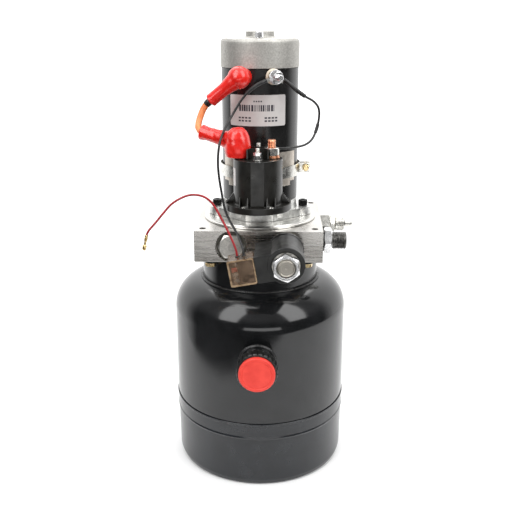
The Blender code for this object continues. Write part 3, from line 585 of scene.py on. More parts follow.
def make_looks():
    painted("tank_enamel", "tank_paint", (0.006, 0.0065, 0.007), (0.012, 0.0125, 0.0135), 0.1, 0.18, 0.005)
    painted("cup_enamel", "tank_paint", (0.008, 0.009, 0.011), (0.015, 0.017, 0.02), 0.16, 0.26, 0.005)
    painted("motor_enamel", "motor_paint", (0.006, 0.006, 0.006), (0.013, 0.013, 0.013), 0.2, 0.3, 0.005)
    block = new_look("milled_aluminium", "aluminium", 1.0)
    tint(block, speckle(block, 24, (1, 1, 2.5), 6, 0.4), (0.58, 0.555, 0.52), (0.68, 0.66, 0.63))
    finish_range(block, speckle(block, 60, (0.5, 0.5, 12), 5), 0.2, 0.34)
    relief(block, speckle(block, 140, (0.2, 0.2, 14), 3), 0.002)
    disc = new_look("turned_alloy", "cast_alloy", 1.0)
    tint(disc, turning_marks(disc, (0, 0, 0), (1, 1, 0), 900), (0.58, 0.57, 0.54), (0.8, 0.79, 0.76))
    finish_range(disc, turning_marks(disc, (0, 0, 0), (1, 1, 0), 350), 0.22, 0.4)
    relief(disc, turning_marks(disc, (0, 0, 0), (1, 1, 0), 1800), 0.006)
    cast = new_look("cast_alloy", "cast_alloy", 1.0)
    tint(cast, speckle(cast, 700, detail=6), (0.4, 0.39, 0.365), (0.54, 0.53, 0.5))
    finish_range(cast, speckle(cast, 220, detail=6), 0.5, 0.64)
    relief(cast, speckle(cast, 900, detail=3), 0.03)
    flange = new_look("cast_flange", "cast_alloy", 1.0)
    tint(flange, speckle(flange, 260, detail=6), (0.62, 0.62, 0.6), (0.82, 0.82, 0.8))
    finish_range(flange, speckle(flange, 120, detail=6), 0.34, 0.5)
    relief(flange, speckle(flange, 700, detail=3), 0.015)
    plated("bright_chrome", "chrome", (0.7, 0.7, 0.71), (0.88, 0.88, 0.88), 0.2, 0.34)
    plated("zinc", "zinc", (0.6, 0.59, 0.55), (0.82, 0.81, 0.77), 0.2, 0.36)
    plated("saddle_zinc", "zinc", (0.58, 0.52, 0.45), (0.74, 0.69, 0.62), 0.32, 0.48, 160)
    plated("yellow_zinc", "yellow_zinc", (0.6, 0.42, 0.2), (0.86, 0.72, 0.42), 0.2, 0.36)
    plated("plain_steel", "steel", (0.44, 0.43, 0.4), (0.66, 0.64, 0.6), 0.28, 0.44)
    plated("black_oxide", "black_steel", (0.015, 0.015, 0.015), (0.045, 0.045, 0.045), 0.3, 0.5)
    plated("dark_steel", "black_steel", (0.07, 0.07, 0.066), (0.2, 0.195, 0.185), 0.25, 0.4)
    plated("copper", "copper", (0.62, 0.26, 0.13), (0.86, 0.45, 0.28), 0.24, 0.42)
    plated("brass", "brass", (0.62, 0.42, 0.16), (0.85, 0.66, 0.34), 0.18, 0.36)
    face = new_look("turned_steel", "steel", 1.0)
    axis = Vector(VALVE[0]) * MM
    tint(face, turning_marks(face, axis, (1, 0, 1), 1600), (0.3, 0.28, 0.24), (0.56, 0.53, 0.48))
    finish_range(face, speckle(face, 400), 0.3, 0.5)
    relief(face, turning_marks(face, axis, (1, 0, 1), 2600), 0.012)
    moulded("black_plastic", "black_plastic", (0.005, 0.005, 0.005), (0.012, 0.012, 0.011), 0.3, 0.45)
    moulded("relay_plastic", "black_plastic", (0.006, 0.006, 0.005), (0.014, 0.013, 0.011), 0.26, 0.4)
    moulded("coil_plastic", "black_plastic", (0.006, 0.006, 0.006), (0.016, 0.016, 0.015), 0.34, 0.5, 1600)
    moulded("insulator", None, (0.6, 0.52, 0.4), (0.78, 0.7, 0.58), 0.4, 0.55)
    moulded("red_cover", "red_plastic", (0.72, 0.035, 0.022), (0.82, 0.055, 0.036), 0.42, 0.56, 1400, 0.015)
    moulded("rubber", "rubber", (0.012, 0.012, 0.012), (0.03, 0.03, 0.03), 0.55, 0.75)
    # Grey of the thin ring on the plug's counterbore floor: this grey is painted shade for that recess.
    moulded("counterbore_shade_grey", "rubber", (0.11, 0.105, 0.09), (0.17, 0.165, 0.14), 0.5, 0.7)
    vinyl = moulded("red_vinyl", "red_vinyl", (0.66, 0.01, 0.006), (0.8, 0.022, 0.014), 0.2, 0.34, 600, 0.01)
    vinyl.node_tree.nodes["Principled BSDF"].inputs["Coat Weight"].default_value = 0.4
    vinyl.node_tree.nodes["Principled BSDF"].inputs["Coat Roughness"].default_value = 0.2
    moulded("orange_pvc", "orange_cable", (0.78, 0.2, 0.06), (0.92, 0.32, 0.12), 0.32, 0.46, 500, 0.02)
    moulded("black_pvc", "black_wire", (0.004, 0.004, 0.004), (0.01, 0.01, 0.01), 0.3, 0.45, 700, 0.01)
    moulded("red_pvc", "red_wire", (0.26, 0.006, 0.01), (0.36, 0.01, 0.016), 0.28, 0.42, 700, 0.01)
    moulded("paper", None, (0.54, 0.515, 0.505), (0.6, 0.575, 0.56), 0.4, 0.55, 900, 0.006)
    moulded("ink", None, (0.012, 0.01, 0.02), (0.03, 0.028, 0.04), 0.45, 0.6, 1500, 0.004)
    clear = new_look("smoky_plastic", "clear_plastic", Alpha=0.4, Coat_Weight=0.6, Coat_Roughness=0.08)
    tint(clear, speckle(clear, 160, distortion=1.5), (0.07, 0.045, 0.028), (0.3, 0.2, 0.13))
    finish_range(clear, speckle(clear, 150), 0.1, 0.25)
    relief(clear, speckle(clear, 260, detail=1), 0.03)
    amber = new_look("amber_plastic", "clear_plastic", Alpha=0.72, Coat_Weight=0.6, Coat_Roughness=0.08)
    tint(amber, speckle(amber, 160, distortion=1.5), (0.2, 0.12, 0.06), (0.52, 0.38, 0.24))
    finish_range(amber, speckle(amber, 150), 0.12, 0.28)
    relief(amber, speckle(amber, 260, detail=1), 0.03)
    weld = new_look("weld_enamel", "tank_paint")
    tint(weld, speckle(weld, 300), (0.008, 0.008, 0.008), (0.02, 0.02, 0.02))
    finish_range(weld, speckle(weld, 200), 0.22, 0.4)
    relief(weld, speckle(weld, 330, detail=2), 0.25)


# Camera, light and floor


FLOOR_RADIUS = 620
FLOOR_CENTRE = (200, 190, 0)


def add_camera():
    camera = bpy.data.objects.new("camera", bpy.data.cameras.new("camera"))
    camera.data.sensor_width = 36
    camera.data.lens = 51.33
    camera.location = (0.0198, -0.7634, 0.475)
    heading = Euler((math.radians(90 - 17.76), 0, math.radians(1.9)))
    roll = Matrix.Rotation(-0.002, 4, "Z")
    camera.rotation_euler = (heading.to_matrix().to_4x4() @ roll).to_euler()
    bpy.context.scene.collection.objects.link(camera)
    bpy.context.scene.camera = camera


def add_panel(name, location, target, size, power):
    lamp = bpy.data.lights.new(name, "AREA")
    lamp.shape = "RECTANGLE"
    lamp.size, lamp.size_y = size
    lamp.energy = power
    panel = bpy.data.objects.new(name, lamp)
    panel.location = location
    panel.rotation_euler = (Vector(target) - Vector(location)).to_track_quat("-Z", "Y").to_euler()
    bpy.context.scene.collection.objects.link(panel)


def higher(world, first, second):
    """The higher of two values."""
    made = add_node(world, "ShaderNodeMath", {"operation": "MAXIMUM"})
    for socket, value in zip(made.inputs, (first, second)):
        world.node_tree.links.new(value, socket)
    return made.outputs["Value"]


def add_studio():
    scene = bpy.context.scene
    scene.view_settings.view_transform = "Standard"
    scene.view_settings.look = "None"
    middle = (0, 0, 0.25)
    add_panel("panel_left", (-0.6, -0.7, 1.12), middle, (0.62, 1.5), 13)
    add_panel("panel_right", (0.72, -0.57, 1.12), middle, (0.62, 1.5), 13)
    add_panel("panel_low", (0.1, -1.3, 0.1), middle, (1.1, 0.22), 2)
    add_panel("panel_top", (0, 0.2, 1.7), middle, (1.4, 1.2), 4)
    add_panel("panel_back", (0.0, 0.75, 1.3), (0.0, 0.6, 0.0), (1.3, 0.7), 7)
    world = bpy.data.worlds.new("studio")
    world.use_nodes = True
    scene.world = world
    place = add_node(world, "ShaderNodeTexCoord")
    parts = add_node(world, "ShaderNodeSeparateXYZ", Vector=place.outputs["Generated"])
    walls = []
    for axis, dark, bright, strength in (("Z", 0.2, 0.5, 0.4), ("Y", 0.05, 0.4, 1.5)):
        wall = add_node(world, "ShaderNodeMapRange", Value=parts.outputs[axis], From_Min=dark,
                        From_Max=bright, To_Min=0.06, To_Max=strength)
        walls.append(wall.outputs["Result"])
    seen = add_node(world, "ShaderNodeLightPath").outputs["Is Camera Ray"]
    light = higher(world, seen, higher(world, *walls))
    background = world.node_tree.nodes["Background"]
    world.node_tree.links.new(light, background.inputs["Strength"])
    background.inputs["Color"].default_value = (1, 1, 1, 1)
    floor_mesh = bpy.data.meshes.new("floor")
    shape = posed(cylinder(FLOOR_RADIUS, -3, 0, 128), FLOOR_CENTRE)
    bmesh.ops.scale(shape, vec=(MM, MM, MM), verts=shape.verts)
    shape.to_mesh(floor_mesh)
    shape.free()
    floor = bpy.data.objects.new("floor", floor_mesh)
    floor.location.z = cad_bounds[0].z - 0.0002
    scene.collection.objects.link(floor)
    paper = new_look("floor_paper", None)
    tint(paper, speckle(paper, 8), (0.9, 0.9, 0.9), (0.93, 0.93, 0.93))
    paper.node_tree.nodes["Principled BSDF"].inputs["Roughness"].default_value = 0.8
    floor.data.materials.append(paper)


# Leads and cable


def add_leads():
    """The free leads first, and then what sits on them."""
    earth, earth_length = add_cord("earth_lead", "earth_wire", EARTH_ROUTE, EARTH_DIAMETER, "black_pvc")
    relay, relay_length = add_cord("relay_lead", "relay_wire", RELAY_LEAD_ROUTE, EARTH_DIAMETER, "black_pvc")
    red, red_length = add_cord("red_lead", "red_wire_run", RED_ROUTE, RED_DIAMETER, "red_pvc")
    cable, cable_length = add_cord("battery_cable", "orange_cable_run", CABLE_ROUTE, CABLE_DIAMETER,
                                   "orange_pvc", 8)
    earth_sleeve = add_sleeve("earth_lead_sleeve", EARTH_ROUTE, 0.0, 24, 1.95)
    relay_sleeve = add_sleeve("relay_lead_sleeve", RELAY_LEAD_ROUTE, 0.0, 27, 2.0)
    relay_end = add_sleeve("relay_lead_end_sleeve", RELAY_LEAD_ROUTE, 62, 72, 1.7)
    cable_sleeve = add_sleeve("battery_cable_sleeve", CABLE_ROUTE, 0.0, 5.5, 3.75)
    terminal = add_red_terminal()


def stretch(route, start, end):
    """The points of a route, in millimetres, between two distances along it."""
    points = smooth_route([Vector(point) / MM for point in route], 0.6)
    kept = []
    travelled = 0.0
    for before, after in zip(points, points[1:]):
        if start <= travelled <= end:
            kept.append(before)
        travelled += (after - before).length
    return kept


def add_sleeve(name, route, start, end, radius):
    """Shrink tube over part of a lead, tighter at its ends and a little uneven."""
    points = stretch(route, start, end)
    sizes = []
    for i in range(len(points)):
        edge = min(i, len(points) - 1 - i)
        sizes.append(radius * (0.88 + 0.12 * min(1.0, edge / 3)) * (1 + 0.03 * math.sin(i * 0.9)))
    return add(name, swept(points, sizes, 20), "black_pvc")


def add_red_terminal():
    """A brass bullet crimped on the end of the red lead."""
    low, high = extent("red_lead_terminal")
    start = Vector(RED_ROUTE[-1]) / MM
    end = Vector((low.x + 1.6, (low.y + high.y) / 2, low.z + 0.2))
    heading = end - start
    bearing = [math.degrees(angle) for angle in heading.to_track_quat("Z", "Y").to_euler()]
    outline = [(0, 0.3), (1.6, 0.3), (1.6, 2.2), (1.4, 2.5), (1.6, 2.9), (1.6, 5.6), (1.1, 7), (1.1, 10)]
    outline += [(1.9, 11), (2, 12.4), (1.9, 14.4), (1.1, 15.8), (0, 15.9)]
    return add("bullet_terminal", posed(turned(outline, 40, fillet=0.4), start, bearing), "brass",
               replaces=["red_lead_terminal"])


# Tank and filler


def add_tank():
    low, high = extent("tank_shell")
    radius = high.x
    wall = 2.0
    neck = 62.5
    neck_bore = neck - 4
    shoulder = 33.5
    shoulder_z = 176.0
    middle = radius - shoulder
    end = math.degrees(math.acos((neck - middle) / shoulder))
    inner_end = math.degrees(math.acos((neck_bore - middle) / (shoulder - wall)))
    outline = [(radius - wall, low.z), (radius - 0.1, low.z, 0.7), (radius, low.z + 2, 0)]
    outline += [(*point, 0) for point in divided([(radius, low.z + 3), (radius, shoulder_z - 1)], 12)]
    outline += [(*point, 0) for point in arc(middle, shoulder_z, shoulder, 0, end, 36)]
    outline += [(neck, high.z, 0.5), (neck_bore, high.z, 0.3)]
    outline += [(*point, 0) for point in arc(middle, shoulder_z, shoulder - wall, inner_end, 0, 24)]
    filler_z = (extent("filler_cap")[0].z + extent("filler_cap")[1].z) / 2
    filler = ((0, 0, filler_z), FORWARD)
    add("tank_dome", turned(outline, TANK_SEGMENTS, True, 0.4), "tank_enamel", replaces=["tank_shell"],
        cuts=[posed(cylinder(FILLER_BORE, 80, 112), *filler)])
    add_neck_weld(neck + 0.9, shoulder_z + shoulder * math.sin(math.radians(end)) + 0.4)
    boss = [(FILLER_BORE, 89), (17.6, 89), (18.2, 97), (17.8, 99.4, 0.6), (17.2, 100.4, 0.6)]
    boss += [(17.2, -low.y, 0.5), (FILLER_BORE, -low.y, 0.4)]
    add("filler_boss", turned(boss, 96, True, 0.4), "tank_enamel", filler)
    add_filler_weld(radius, filler_z)
    for number, (x, y) in enumerate([(-50, -48), (50, -48), (-50, 48), (50, 48)]):
        root = (neck - 6) / math.hypot(x, y)
        lug = prism(capsule(x * root, y * root, x, y, 6.5), high.z - 5, high.z - 0.3)
        add(f"tank_lug_{number + 1}", lug, "tank_enamel", cuts=[cylinder(3.3, 230, 250, 32, x, y)], bevel=0.5)


def add_neck_weld(radius, height):
    """A run of weld round the neck, with ripples and an uneven width."""
    size = 1.7
    ripples = 210
    shape = torus(radius, size, height, 640, 10, 0.7)
    for vert in shape.verts:
        angle = math.atan2(vert.co.y, vert.co.x)
        push = 1 + 0.05 * math.sin(angle * ripples) / size
        drift = 0.5 * noise.noise(Vector((math.cos(angle) * 5, math.sin(angle) * 5, 3)))
        away = math.hypot(vert.co.x, vert.co.y) - radius
        reach = radius + away * push + drift * 0.5 + 0.12 * math.sin(angle * ripples)
        vert.co.x = reach * math.cos(angle)
        vert.co.y = reach * math.sin(angle)
        vert.co.z += drift * 0.8
    add("neck_weld", shape, "weld_enamel", sharp=60)


def add_filler_weld(radius, height):
    """The fillet of weld where the filler boss meets the curved tank."""
    shape = bmesh.new()
    loops = []
    segments = 160
    for step in range(9):
        across = step / 8
        reach = 22.0 - 4.4 * across
        ring = []
        for i in range(segments):
            angle = 2 * math.pi * i / segments
            ripple = 0.16 * math.sin(angle * 46) * math.sin(math.pi * across)
            wander = 0.5 * noise.noise(Vector((math.cos(angle) * 2, math.sin(angle) * 2, 7)))
            size = reach + (wander + ripple) * (1 - across)
            x = size * math.cos(angle)
            z = size * math.sin(angle)
            surface = math.sqrt(radius * radius - x * x)
            lift = 3.4 * (1 - math.sqrt(max(0.0, 1 - across * across)))
            ring.append(shape.verts.new((x, -(surface - 0.4 + lift + ripple), height + z)))
        loops.append(ring)
    inner = []
    for x, z, _ in circle(16.0, 0, segments):
        inner.append(shape.verts.new((x, -(math.sqrt(radius * radius - x * x) - 1.2), height + z)))
    for outer, nearer in zip(loops, loops[1:] + [inner]):
        bridge(shape, outer, nearer)
    bridge(shape, inner, loops[0])
    bmesh.ops.recalc_face_normals(shape, faces=shape.faces)
    add("filler_weld", shape, "weld_enamel", sharp=60)


def add_tank_base():
    high = extent("tank_base")[1]
    shell = extent("tank_shell")[1].x
    outline = [(0, 0), (86.5, 0, 2), (91.6, 1.2, 2.5), (93.2, 6.4, 3), (shell - 0.1, 55.6, 0.6)]
    outline += [(shell + 0.6, 57.2, 0.7), (shell, 59, 0.7), (shell, 71, 0.8), (high.x, 72.6, 0.6)]
    outline += [(high.x, high.z, 0.7), (92.4, high.z), (91.1, 7, 2), (87, 2.6, 1), (0, 2.6)]
    add("tank_cup", turned(outline, TANK_SEGMENTS, False, 0.5), "cup_enamel", replaces=["tank_base"])


def add_filler_cap():
    gasket_low, gasket_high = extent("filler_gasket")
    low, high = extent("filler_cap")
    cover_low, cover_high = extent("filler_cap_cover")
    here = ((0, 0, (low.z + high.z) / 2), FORWARD)
    near, far = -gasket_high.y, -gasket_low.y
    seal = [(14.3, near), (gasket_high.x, near, 0.6), (gasket_high.x, far, 0.6), (14.3, far)]
    add("filler_seal_ring", turned(seal, 96, True), "rubber", here, "filler_seal", ["filler_gasket"])
    radius = high.x
    stem, front = -high.y, -low.y
    head = far + 0.3
    outline = [(0, stem), (13, stem), (13.7, stem + 1), (13.7, head), (radius - 0.6, head)]
    outline += [(radius, head + 0.8), (radius, front - 1.4), (radius - 0.9, front - 0.3)]
    outline += [(18.9, front), (0, front)]
    cap = ribbed(outline, 24, 0.9, radius - 0.3, head + 1.4, front - 0.2, 384, 0.7)
    add("filler_cap_ring", cap, "black_plastic", here, "filler_cap", ["filler_cap"], sharp=25)
    face = -cover_low.y
    edge = cover_high.x
    disc = [(0, -cover_high.y), (edge, -cover_high.y), (edge, face - 0.9, 0.5), (edge - 0.7, face - 0.1, 0.5)]
    disc += [(15.2, face, 0.25), (14.8, face - 0.55, 0.2), (14.2, face - 0.25, 0.3), (0, face - 0.2)]
    add("filler_cap_disc", turned(disc, 128), "red_cover", here, "filler_cap", ["filler_cap_cover"])


# Manifold block and its valves


def add_block():
    low, high = extent("manifold_block")
    upright = [cylinder(15, 240, 280)]
    upright += [cylinder(3.4, high.z - 20, 280, 40, x, y) for x in (-57, 57) for y in (-54, 58)]
    upright += [cylinder(3.3, 240, 251, 32, x, y) for x in (-50, 50) for y in (-48, 48)]
    upright += [cylinder(3.3, 263, 280, 32, x, 0) for x in (-FLANGE_SCREW, FLANGE_SCREW)]
    seat = turned([(0, 30), (9, 30), (9, 59), (16, 59), (16, 68), (0, 68)], 96, fillet=0)
    cuts = [gathered(upright), posed(seat, *PLUG), posed(cylinder(10, 34, 68), *VALVE)]
    cuts += [posed(cylinder(8.6, 41, 68), *OUTLET), posed(cylinder(9, 38, 68), *RELIEF)]
    add("block_body", box(low, high), "milled_aluminium", replaces=["manifold_block"], cuts=cuts, bevel=0.35)


def add_plug():
    front = -extent("cavity_plug")[0].y
    head = nut(24, front - 7.3, front, turn=180, chamfers=(False, True))
    add("plug_head", head, "plain_steel", PLUG, replaces=["cavity_plug"], sharp=20)
    stem = turned([(0, 47), (8.7, 47), (8.7, front - 7.5), (0, front - 7.5)], 64)
    add("plug_stem", stem, "plain_steel", PLUG)
    # A thin washer-shaped ring on the counterbore floor round the plug head, its grey painted shade of the
    # recess.
    washer = [(11.2, 59.1), (15.6, 59.1, 0.2), (15.6, 60.3, 0.4), (11.2, 60.3, 0.3)]
    add("plug_shade_washer", turned(washer, 96, True), "counterbore_shade_grey", PLUG)


def add_outlet():
    seal_low, seal_high = extent("outlet_seal")
    seal = torus((seal_high.z - seal_low.z) / 4 + 4.9, 1.15, (seal_low.x + seal_high.x) / 2, 96, 14, 0.62)
    add("outlet_o_ring", seal, "rubber", OUTLET, replaces=["outlet_seal"])
    hexagon = nut(24, 67, 75, 8.6, 90)
    add("outlet_hexagon", hexagon, "bright_chrome", OUTLET, replaces=["outlet_fitting"], sharp=20)
    end = extent("outlet_fitting")[1].x
    nose = [(4.5, 42.5), (8.4, 42.5), (8.4, 76), (8.2, 76.4), (9.1, 77.4), (9.1, end - 1.4), (8.2, end)]
    nose += [(6.4, end), (4.5, end - 7.5)]
    add("outlet_thread", threaded(nose, 9.1, 1.5, 77.2, end - 1.2, 72, True), "dark_steel", OUTLET, sharp=50)


def add_relief():
    add("relief_hexagon", nut(22, 65.3, 77, 5, 90), "zinc", RELIEF, replaces=["relief_valve_body"], sharp=20)
    stem = [(5, 44), (8.6, 44), (8.6, 65.4), (5, 65.4)]
    add("relief_stem", turned(stem, 64, True), "zinc", RELIEF)
    add("relief_nut", nut(17, 77.3, 83, 4.9, 80), "zinc", RELIEF, replaces=["relief_lock_nut"], sharp=20)
    end = extent("relief_adjuster")[1].x
    outline = [(0, 71), (4.6, 71), (4.6, 83.3), (7.2, 83.3), (8, 84.1), (8, 92.6), (7, 93.8), (3.4, 94)]
    outline += [(3.4, end - 0.9), (2.6, end), (0, end)]
    knob = ribbed(outline, 36, 0.45, 7.7, 85, 92, 216, 0.55)
    slot = box((-0.5, -5, end - 2), (0.5, 5, end + 2))
    add("relief_knob", knob, "zinc", RELIEF, "relief_adjuster", ["relief_adjuster"], cuts=[slot], sharp=28)


def add_solenoid_valve():
    tube = [(6.2, 38), (9.7, 38), (9.7, 65.3), (14.5, 65.3, 0.5), (14.5, 73, 0.5), (8.7, 73)]
    tube += [(8.7, 132.2, 0.8), (7.6, 134, 0.8), (6.9, 134, 0.3), (6.5, 133.3, 0.3)]
    tube += [(1.3, 133.3, 0), (0.01, 132.6, 0)]
    tube += [(0.01, 130, 0), (6.2, 130)]
    add("valve_tube", turned(tube, 96, True, 0.2), "turned_steel", VALVE, replaces=["valve_cartridge"])
    coil = [(9, 73.3), (17.6, 73.3, 0.8), (18.2, 75.4, 0.5), (18.2, 78.8, 0.5), (17.4, 79.8, 0.4)]
    coil += [(17.4, 108, 0.4), (17.9, 109, 0.4), (17.9, 125, 1.1), (14.2, 125, 0.3), (13.8, 124.6, 0.3)]
    coil += [(9, 124.6)]
    lug = prism(rectangle(-28.6, -4, 13, 1.5), 77.3, 124.6)
    add("coil_body", turned(coil, 128, True, 0.3), "coil_plastic", COIL, replaces=["valve_coil"], joins=[lug],
        cuts=[cylinder(9, 60, 130)], bevel=0.5)
    washer = [(9.1, 125.05), (13.2, 125.05, 0.2), (13.2, 125.3, 0), (9.1, 125.3)]
    add("coil_washer", turned(washer, 64, True, 0), "plain_steel", VALVE)
    hexagon = nut(23.8, 125.3, 133.4, 9.0, 96)
    add("coil_hexagon", hexagon, "bright_chrome", VALVE, replaces=["coil_nut"], sharp=20)


def add_connector():
    """The clear plug on the coil, with its lamp, screws and carrier showing through."""
    hollow = prism(rectangle(-52.8, -27, 11.4, 1.0), 104.6, 122.4)
    add("connector_shell", prism(rectangle(-54.4, -28.9, 13, 1.8), 103, 124), "smoky_plastic", COIL,
        replaces=["valve_connector"], cuts=[hollow], bevel=0.5)
    window = prism(rectangle(-52.6, -30.2, 11.3, 1.2), 120, 127)
    rim = prism(rectangle(-54.3, -29.1, 12.9, 1.8), 123.2, 124.1)
    add("connector_rim", rim, "amber_plastic", COIL, cuts=[window])
    carrier = prism(rectangle(-45.4, -29.2, 10.8, 0.8), 105.4, 121.6)
    add("connector_carrier", carrier, "coil_plastic", COIL, bevel=0.4)
    lamp = turned([(0, 0), (2.3, 0), (2.3, 1), (2.1, 1.2), (2.1, 5), (0, 6.8)], 40, fillet=0.9)
    add("connector_lamp", posed(lamp, (-51.4, 2.2, 118.6), RIGHT), "red_cover", COIL)
    for number, (x, y) in enumerate([(-48.4, -3.6), (-45.2, 6.6), (-47.6, -8.8)]):
        screw = turned([(0, 106), (1.2, 106), (1.2, 117), (2.2, 117.4), (2.2, 119.4), (0, 119.4)], 32)
        slot = box((x - 0.35, y - 4, 118.6), (x + 0.35, y + 4, 121))
        add(f"connector_screw_{number + 1}", posed(screw, (x, y, 0)), "zinc", COIL, cuts=[slot])
        tab = box((x - 3.6, y - 1.5, 115.6), (x + 4.2, y + 1.5, 116.6))
        add(f"connector_tab_{number + 1}", tab, "insulator", COIL, bevel=0.2)
    red_x, black_x = -44.4, -38.2
    for name, look, x in (("connector_red_core", "red_pvc", red_x),
                          ("connector_black_core", "black_pvc", black_x)):
        points = ((x, 13.2, 113), (x, 9, 113.2), (x - 1.6, 5, 114), (x - 3, 0.5, 114.4))
        route = smooth_route([Vector(point) for point in points], 0.6)
        add(name, swept(route, [1.1] * len(route), 16), look, COIL)
    for number, x in enumerate((red_x, black_x)):
        gland = turned([(1.25, 12.2), (2.3, 12.2), (2.3, 13.5), (1.9, 14), (1.25, 14)], 32, True)
        add(f"connector_gland_{number + 1}", posed(gland, (x, 0, 113), (-90, 0, 0)), "black_plastic", COIL)


def add_tank_bolts():
    for number in range(1, 5):
        low, high = extent(f"tank_bolt_{number}")
        bottom = low.z
        head = nut(10, bottom, bottom + 3.4, turn=15, chamfers=(True, False))
        washer = [(0, bottom + 3.3), (5.4, bottom + 3.3), (5.6, bottom + 3.9), (0, bottom + 3.9)]
        add(f"tank_bolt_head_{number}", gathered([head, turned(washer, 48, fillet=0.2)]), "yellow_zinc",
            at((low.x + high.x) / 2, (low.y + high.y) / 2), replaces=[f"tank_bolt_{number}"], sharp=20)


# Motor


def add_flange():
    low, high = extent("adapter_disc")
    radius = high.x
    disc = [(15, low.z), (radius, low.z, 0.3), (radius, high.z - 1.3, 0.2), (radius - 1.2, high.z - 1, 0.3)]
    disc += [(radius - 1.8, high.z, 0.3), (15, high.z)]
    add("adapter_plate", turned(disc, 160, True, 0.2), "turned_alloy", replaces=["adapter_disc"])
    low, high = extent("motor_flange")
    outline = arc(39.5, 0, 15, -80, 80, 20) + arc(0, 0, 41, 69, 111, 16)
    outline += arc(-39.5, 0, 15, 100, 260, 20) + arc(0, 0, 41, 249, 291, 16)
    neck = [(0, low.z + 2), (39.6, low.z + 2), (39.6, 288.4, 1.2), (39, 290, 1)]
    neck += [(39, high.z, 0.6), (0, high.z)]
    hollow = [(0, 270), (7.5, 270), (7.5, 283.7), (13.3, 283.7), (13.3, 292), (33, 292), (33, 300), (0, 300)]
    holes = [cylinder(3.3, 270, 290, 32, x, 0) for x in (-FLANGE_SCREW, FLANGE_SCREW)]
    holes += [cylinder(2.8, 284, 300, 32, 0, y) for y in (-THROUGH_BOLT, THROUGH_BOLT)]
    add("flange_casting", prism(outline, low.z, 287.3), "cast_flange", replaces=["motor_flange"],
        joins=[turned(neck, 128)], cuts=[turned(hollow, 64, fillet=0), gathered(holes)], bevel=0.6)
    for name in ("flange_screw_left", "flange_screw_right"):
        low, high = extent(name)
        base, top = high.z - 6.1, high.z
        head = [(0, base), (4.6, base), (4.8, base + 0.4), (4.8, top - 0.5), (4.4, top), (0, top)]
        shape = ribbed(head, 40, 0.22, 4.7, base + 0.6, top - 0.7, 200, 0.55)
        socket = prism(arc(0, 0, 2.9, 0, 300, 5), top - 3.4, top + 1)
        add(f"{name}_head", shape, "black_oxide", at((low.x + high.x) / 2, 0), replaces=[name], cuts=[socket],
            sharp=28)


def add_motor_case():
    low, high = extent("motor_housing")
    outline = [(34, low.z), (high.x, low.z, 0.6), (high.x, high.z, 0.6), (34, high.z)]
    holes = []
    for side in (-1, 1):
        holes.append(posed(cylinder(4.5, 30, 45, 32), (0, 0, TERMINAL_Z), (90, 0, side * TERMINAL_ANGLE)))
    add("motor_tube", turned(outline, 160, True), "motor_enamel", replaces=["motor_housing"], cuts=holes)
    low, high = extent("motor_end_cap")
    outline = [(0, 461.5), (5.3, 461.5), (5.3, 450), (34, 450), (34, low.z), (39.9, low.z, 0.4)]
    outline += [(40, 454.6, 0), (39.7, 457.2, 1.4), (38.2, 459.3, 1.2), (35.4, 460, 1.0), (16.6, 460.1, 1.2)]
    outline += [(14.6, 461.4, 0.8), (14.4, high.z - 0.6, 0.5), (13.8, high.z, 0.4), (4.2, high.z, 0.2)]
    outline += [(3.8, high.z - 0.5, 0.2), (0, high.z - 0.5)]
    sides = (-THROUGH_BOLT, THROUGH_BOLT)
    holes = [cylinder(2.8, 440, 470, 32, 0, y) for y in sides]
    lands = [posed(turned([(0, 455), (5.8, 455), (5.6, 460.3), (0, 460.3)], 48), (0, y, 0)) for y in sides]
    add("motor_top_casting", turned(outline, 160, False, 0.3), "cast_alloy", replaces=["motor_end_cap"],
        joins=lands, cuts=[gathered(holes)])
    for name, y in zip(("through_bolt_front", "through_bolt_rear"), sides):
        top = extent(name)[1].z
        base = top - 5.6
        head = nut(7, base + 1.1, top, turn=10, chamfers=(False, True))
        washer = turned([(0, base), (4.2, base), (4.2, base + 1), (0, base + 1)], 48, fillet=0.2)
        slot = posed(box((-0.5, -4, top - 1.2), (0.5, 4, top + 1)), rotation=(0, 0, 35))
        add(f"{name}_head", gathered([head, washer]), "bright_chrome", at(0, y), replaces=[name], cuts=[slot],
            sharp=20)


def patch(radius, thickness, start, end, low, high, corner=0.0):
    """A thin curved plate on a cylinder, between two angles in degrees, with rounded corners."""
    shape = bmesh.new()
    columns = max(3, round(abs(end - start)))
    width = math.radians(end - start) * radius
    grids = []
    for reach in (radius, radius + thickness):
        grid = []
        for i in range(columns + 1):
            across = width * i / columns
            edge = min(across, width - across)
            pull = corner - math.sqrt(max(0.0, corner ** 2 - (corner - edge) ** 2)) if edge < corner else 0.0
            angle = math.radians(start) + across / radius
            x, y = reach * math.cos(angle), reach * math.sin(angle)
            grid.append([shape.verts.new((x, y, height)) for height in (low + pull, high - pull)])
        grids.append(grid)
    back, front = grids
    for i in range(columns):
        shape.faces.new([back[i][0], back[i + 1][0], back[i + 1][1], back[i][1]])
    for i in range(columns):
        shape.faces.new([front[i][0], front[i][1], front[i + 1][1], front[i + 1][0]])
    for k in (0, 1):
        for i in range(columns):
            shape.faces.new([back[i][k], back[i + 1][k], front[i + 1][k], front[i][k]])
    for i in (0, columns):
        shape.faces.new([back[i][0], back[i][1], front[i][1], front[i][0]])
    bmesh.ops.recalc_face_normals(shape, faces=shape.faces)
    return shape


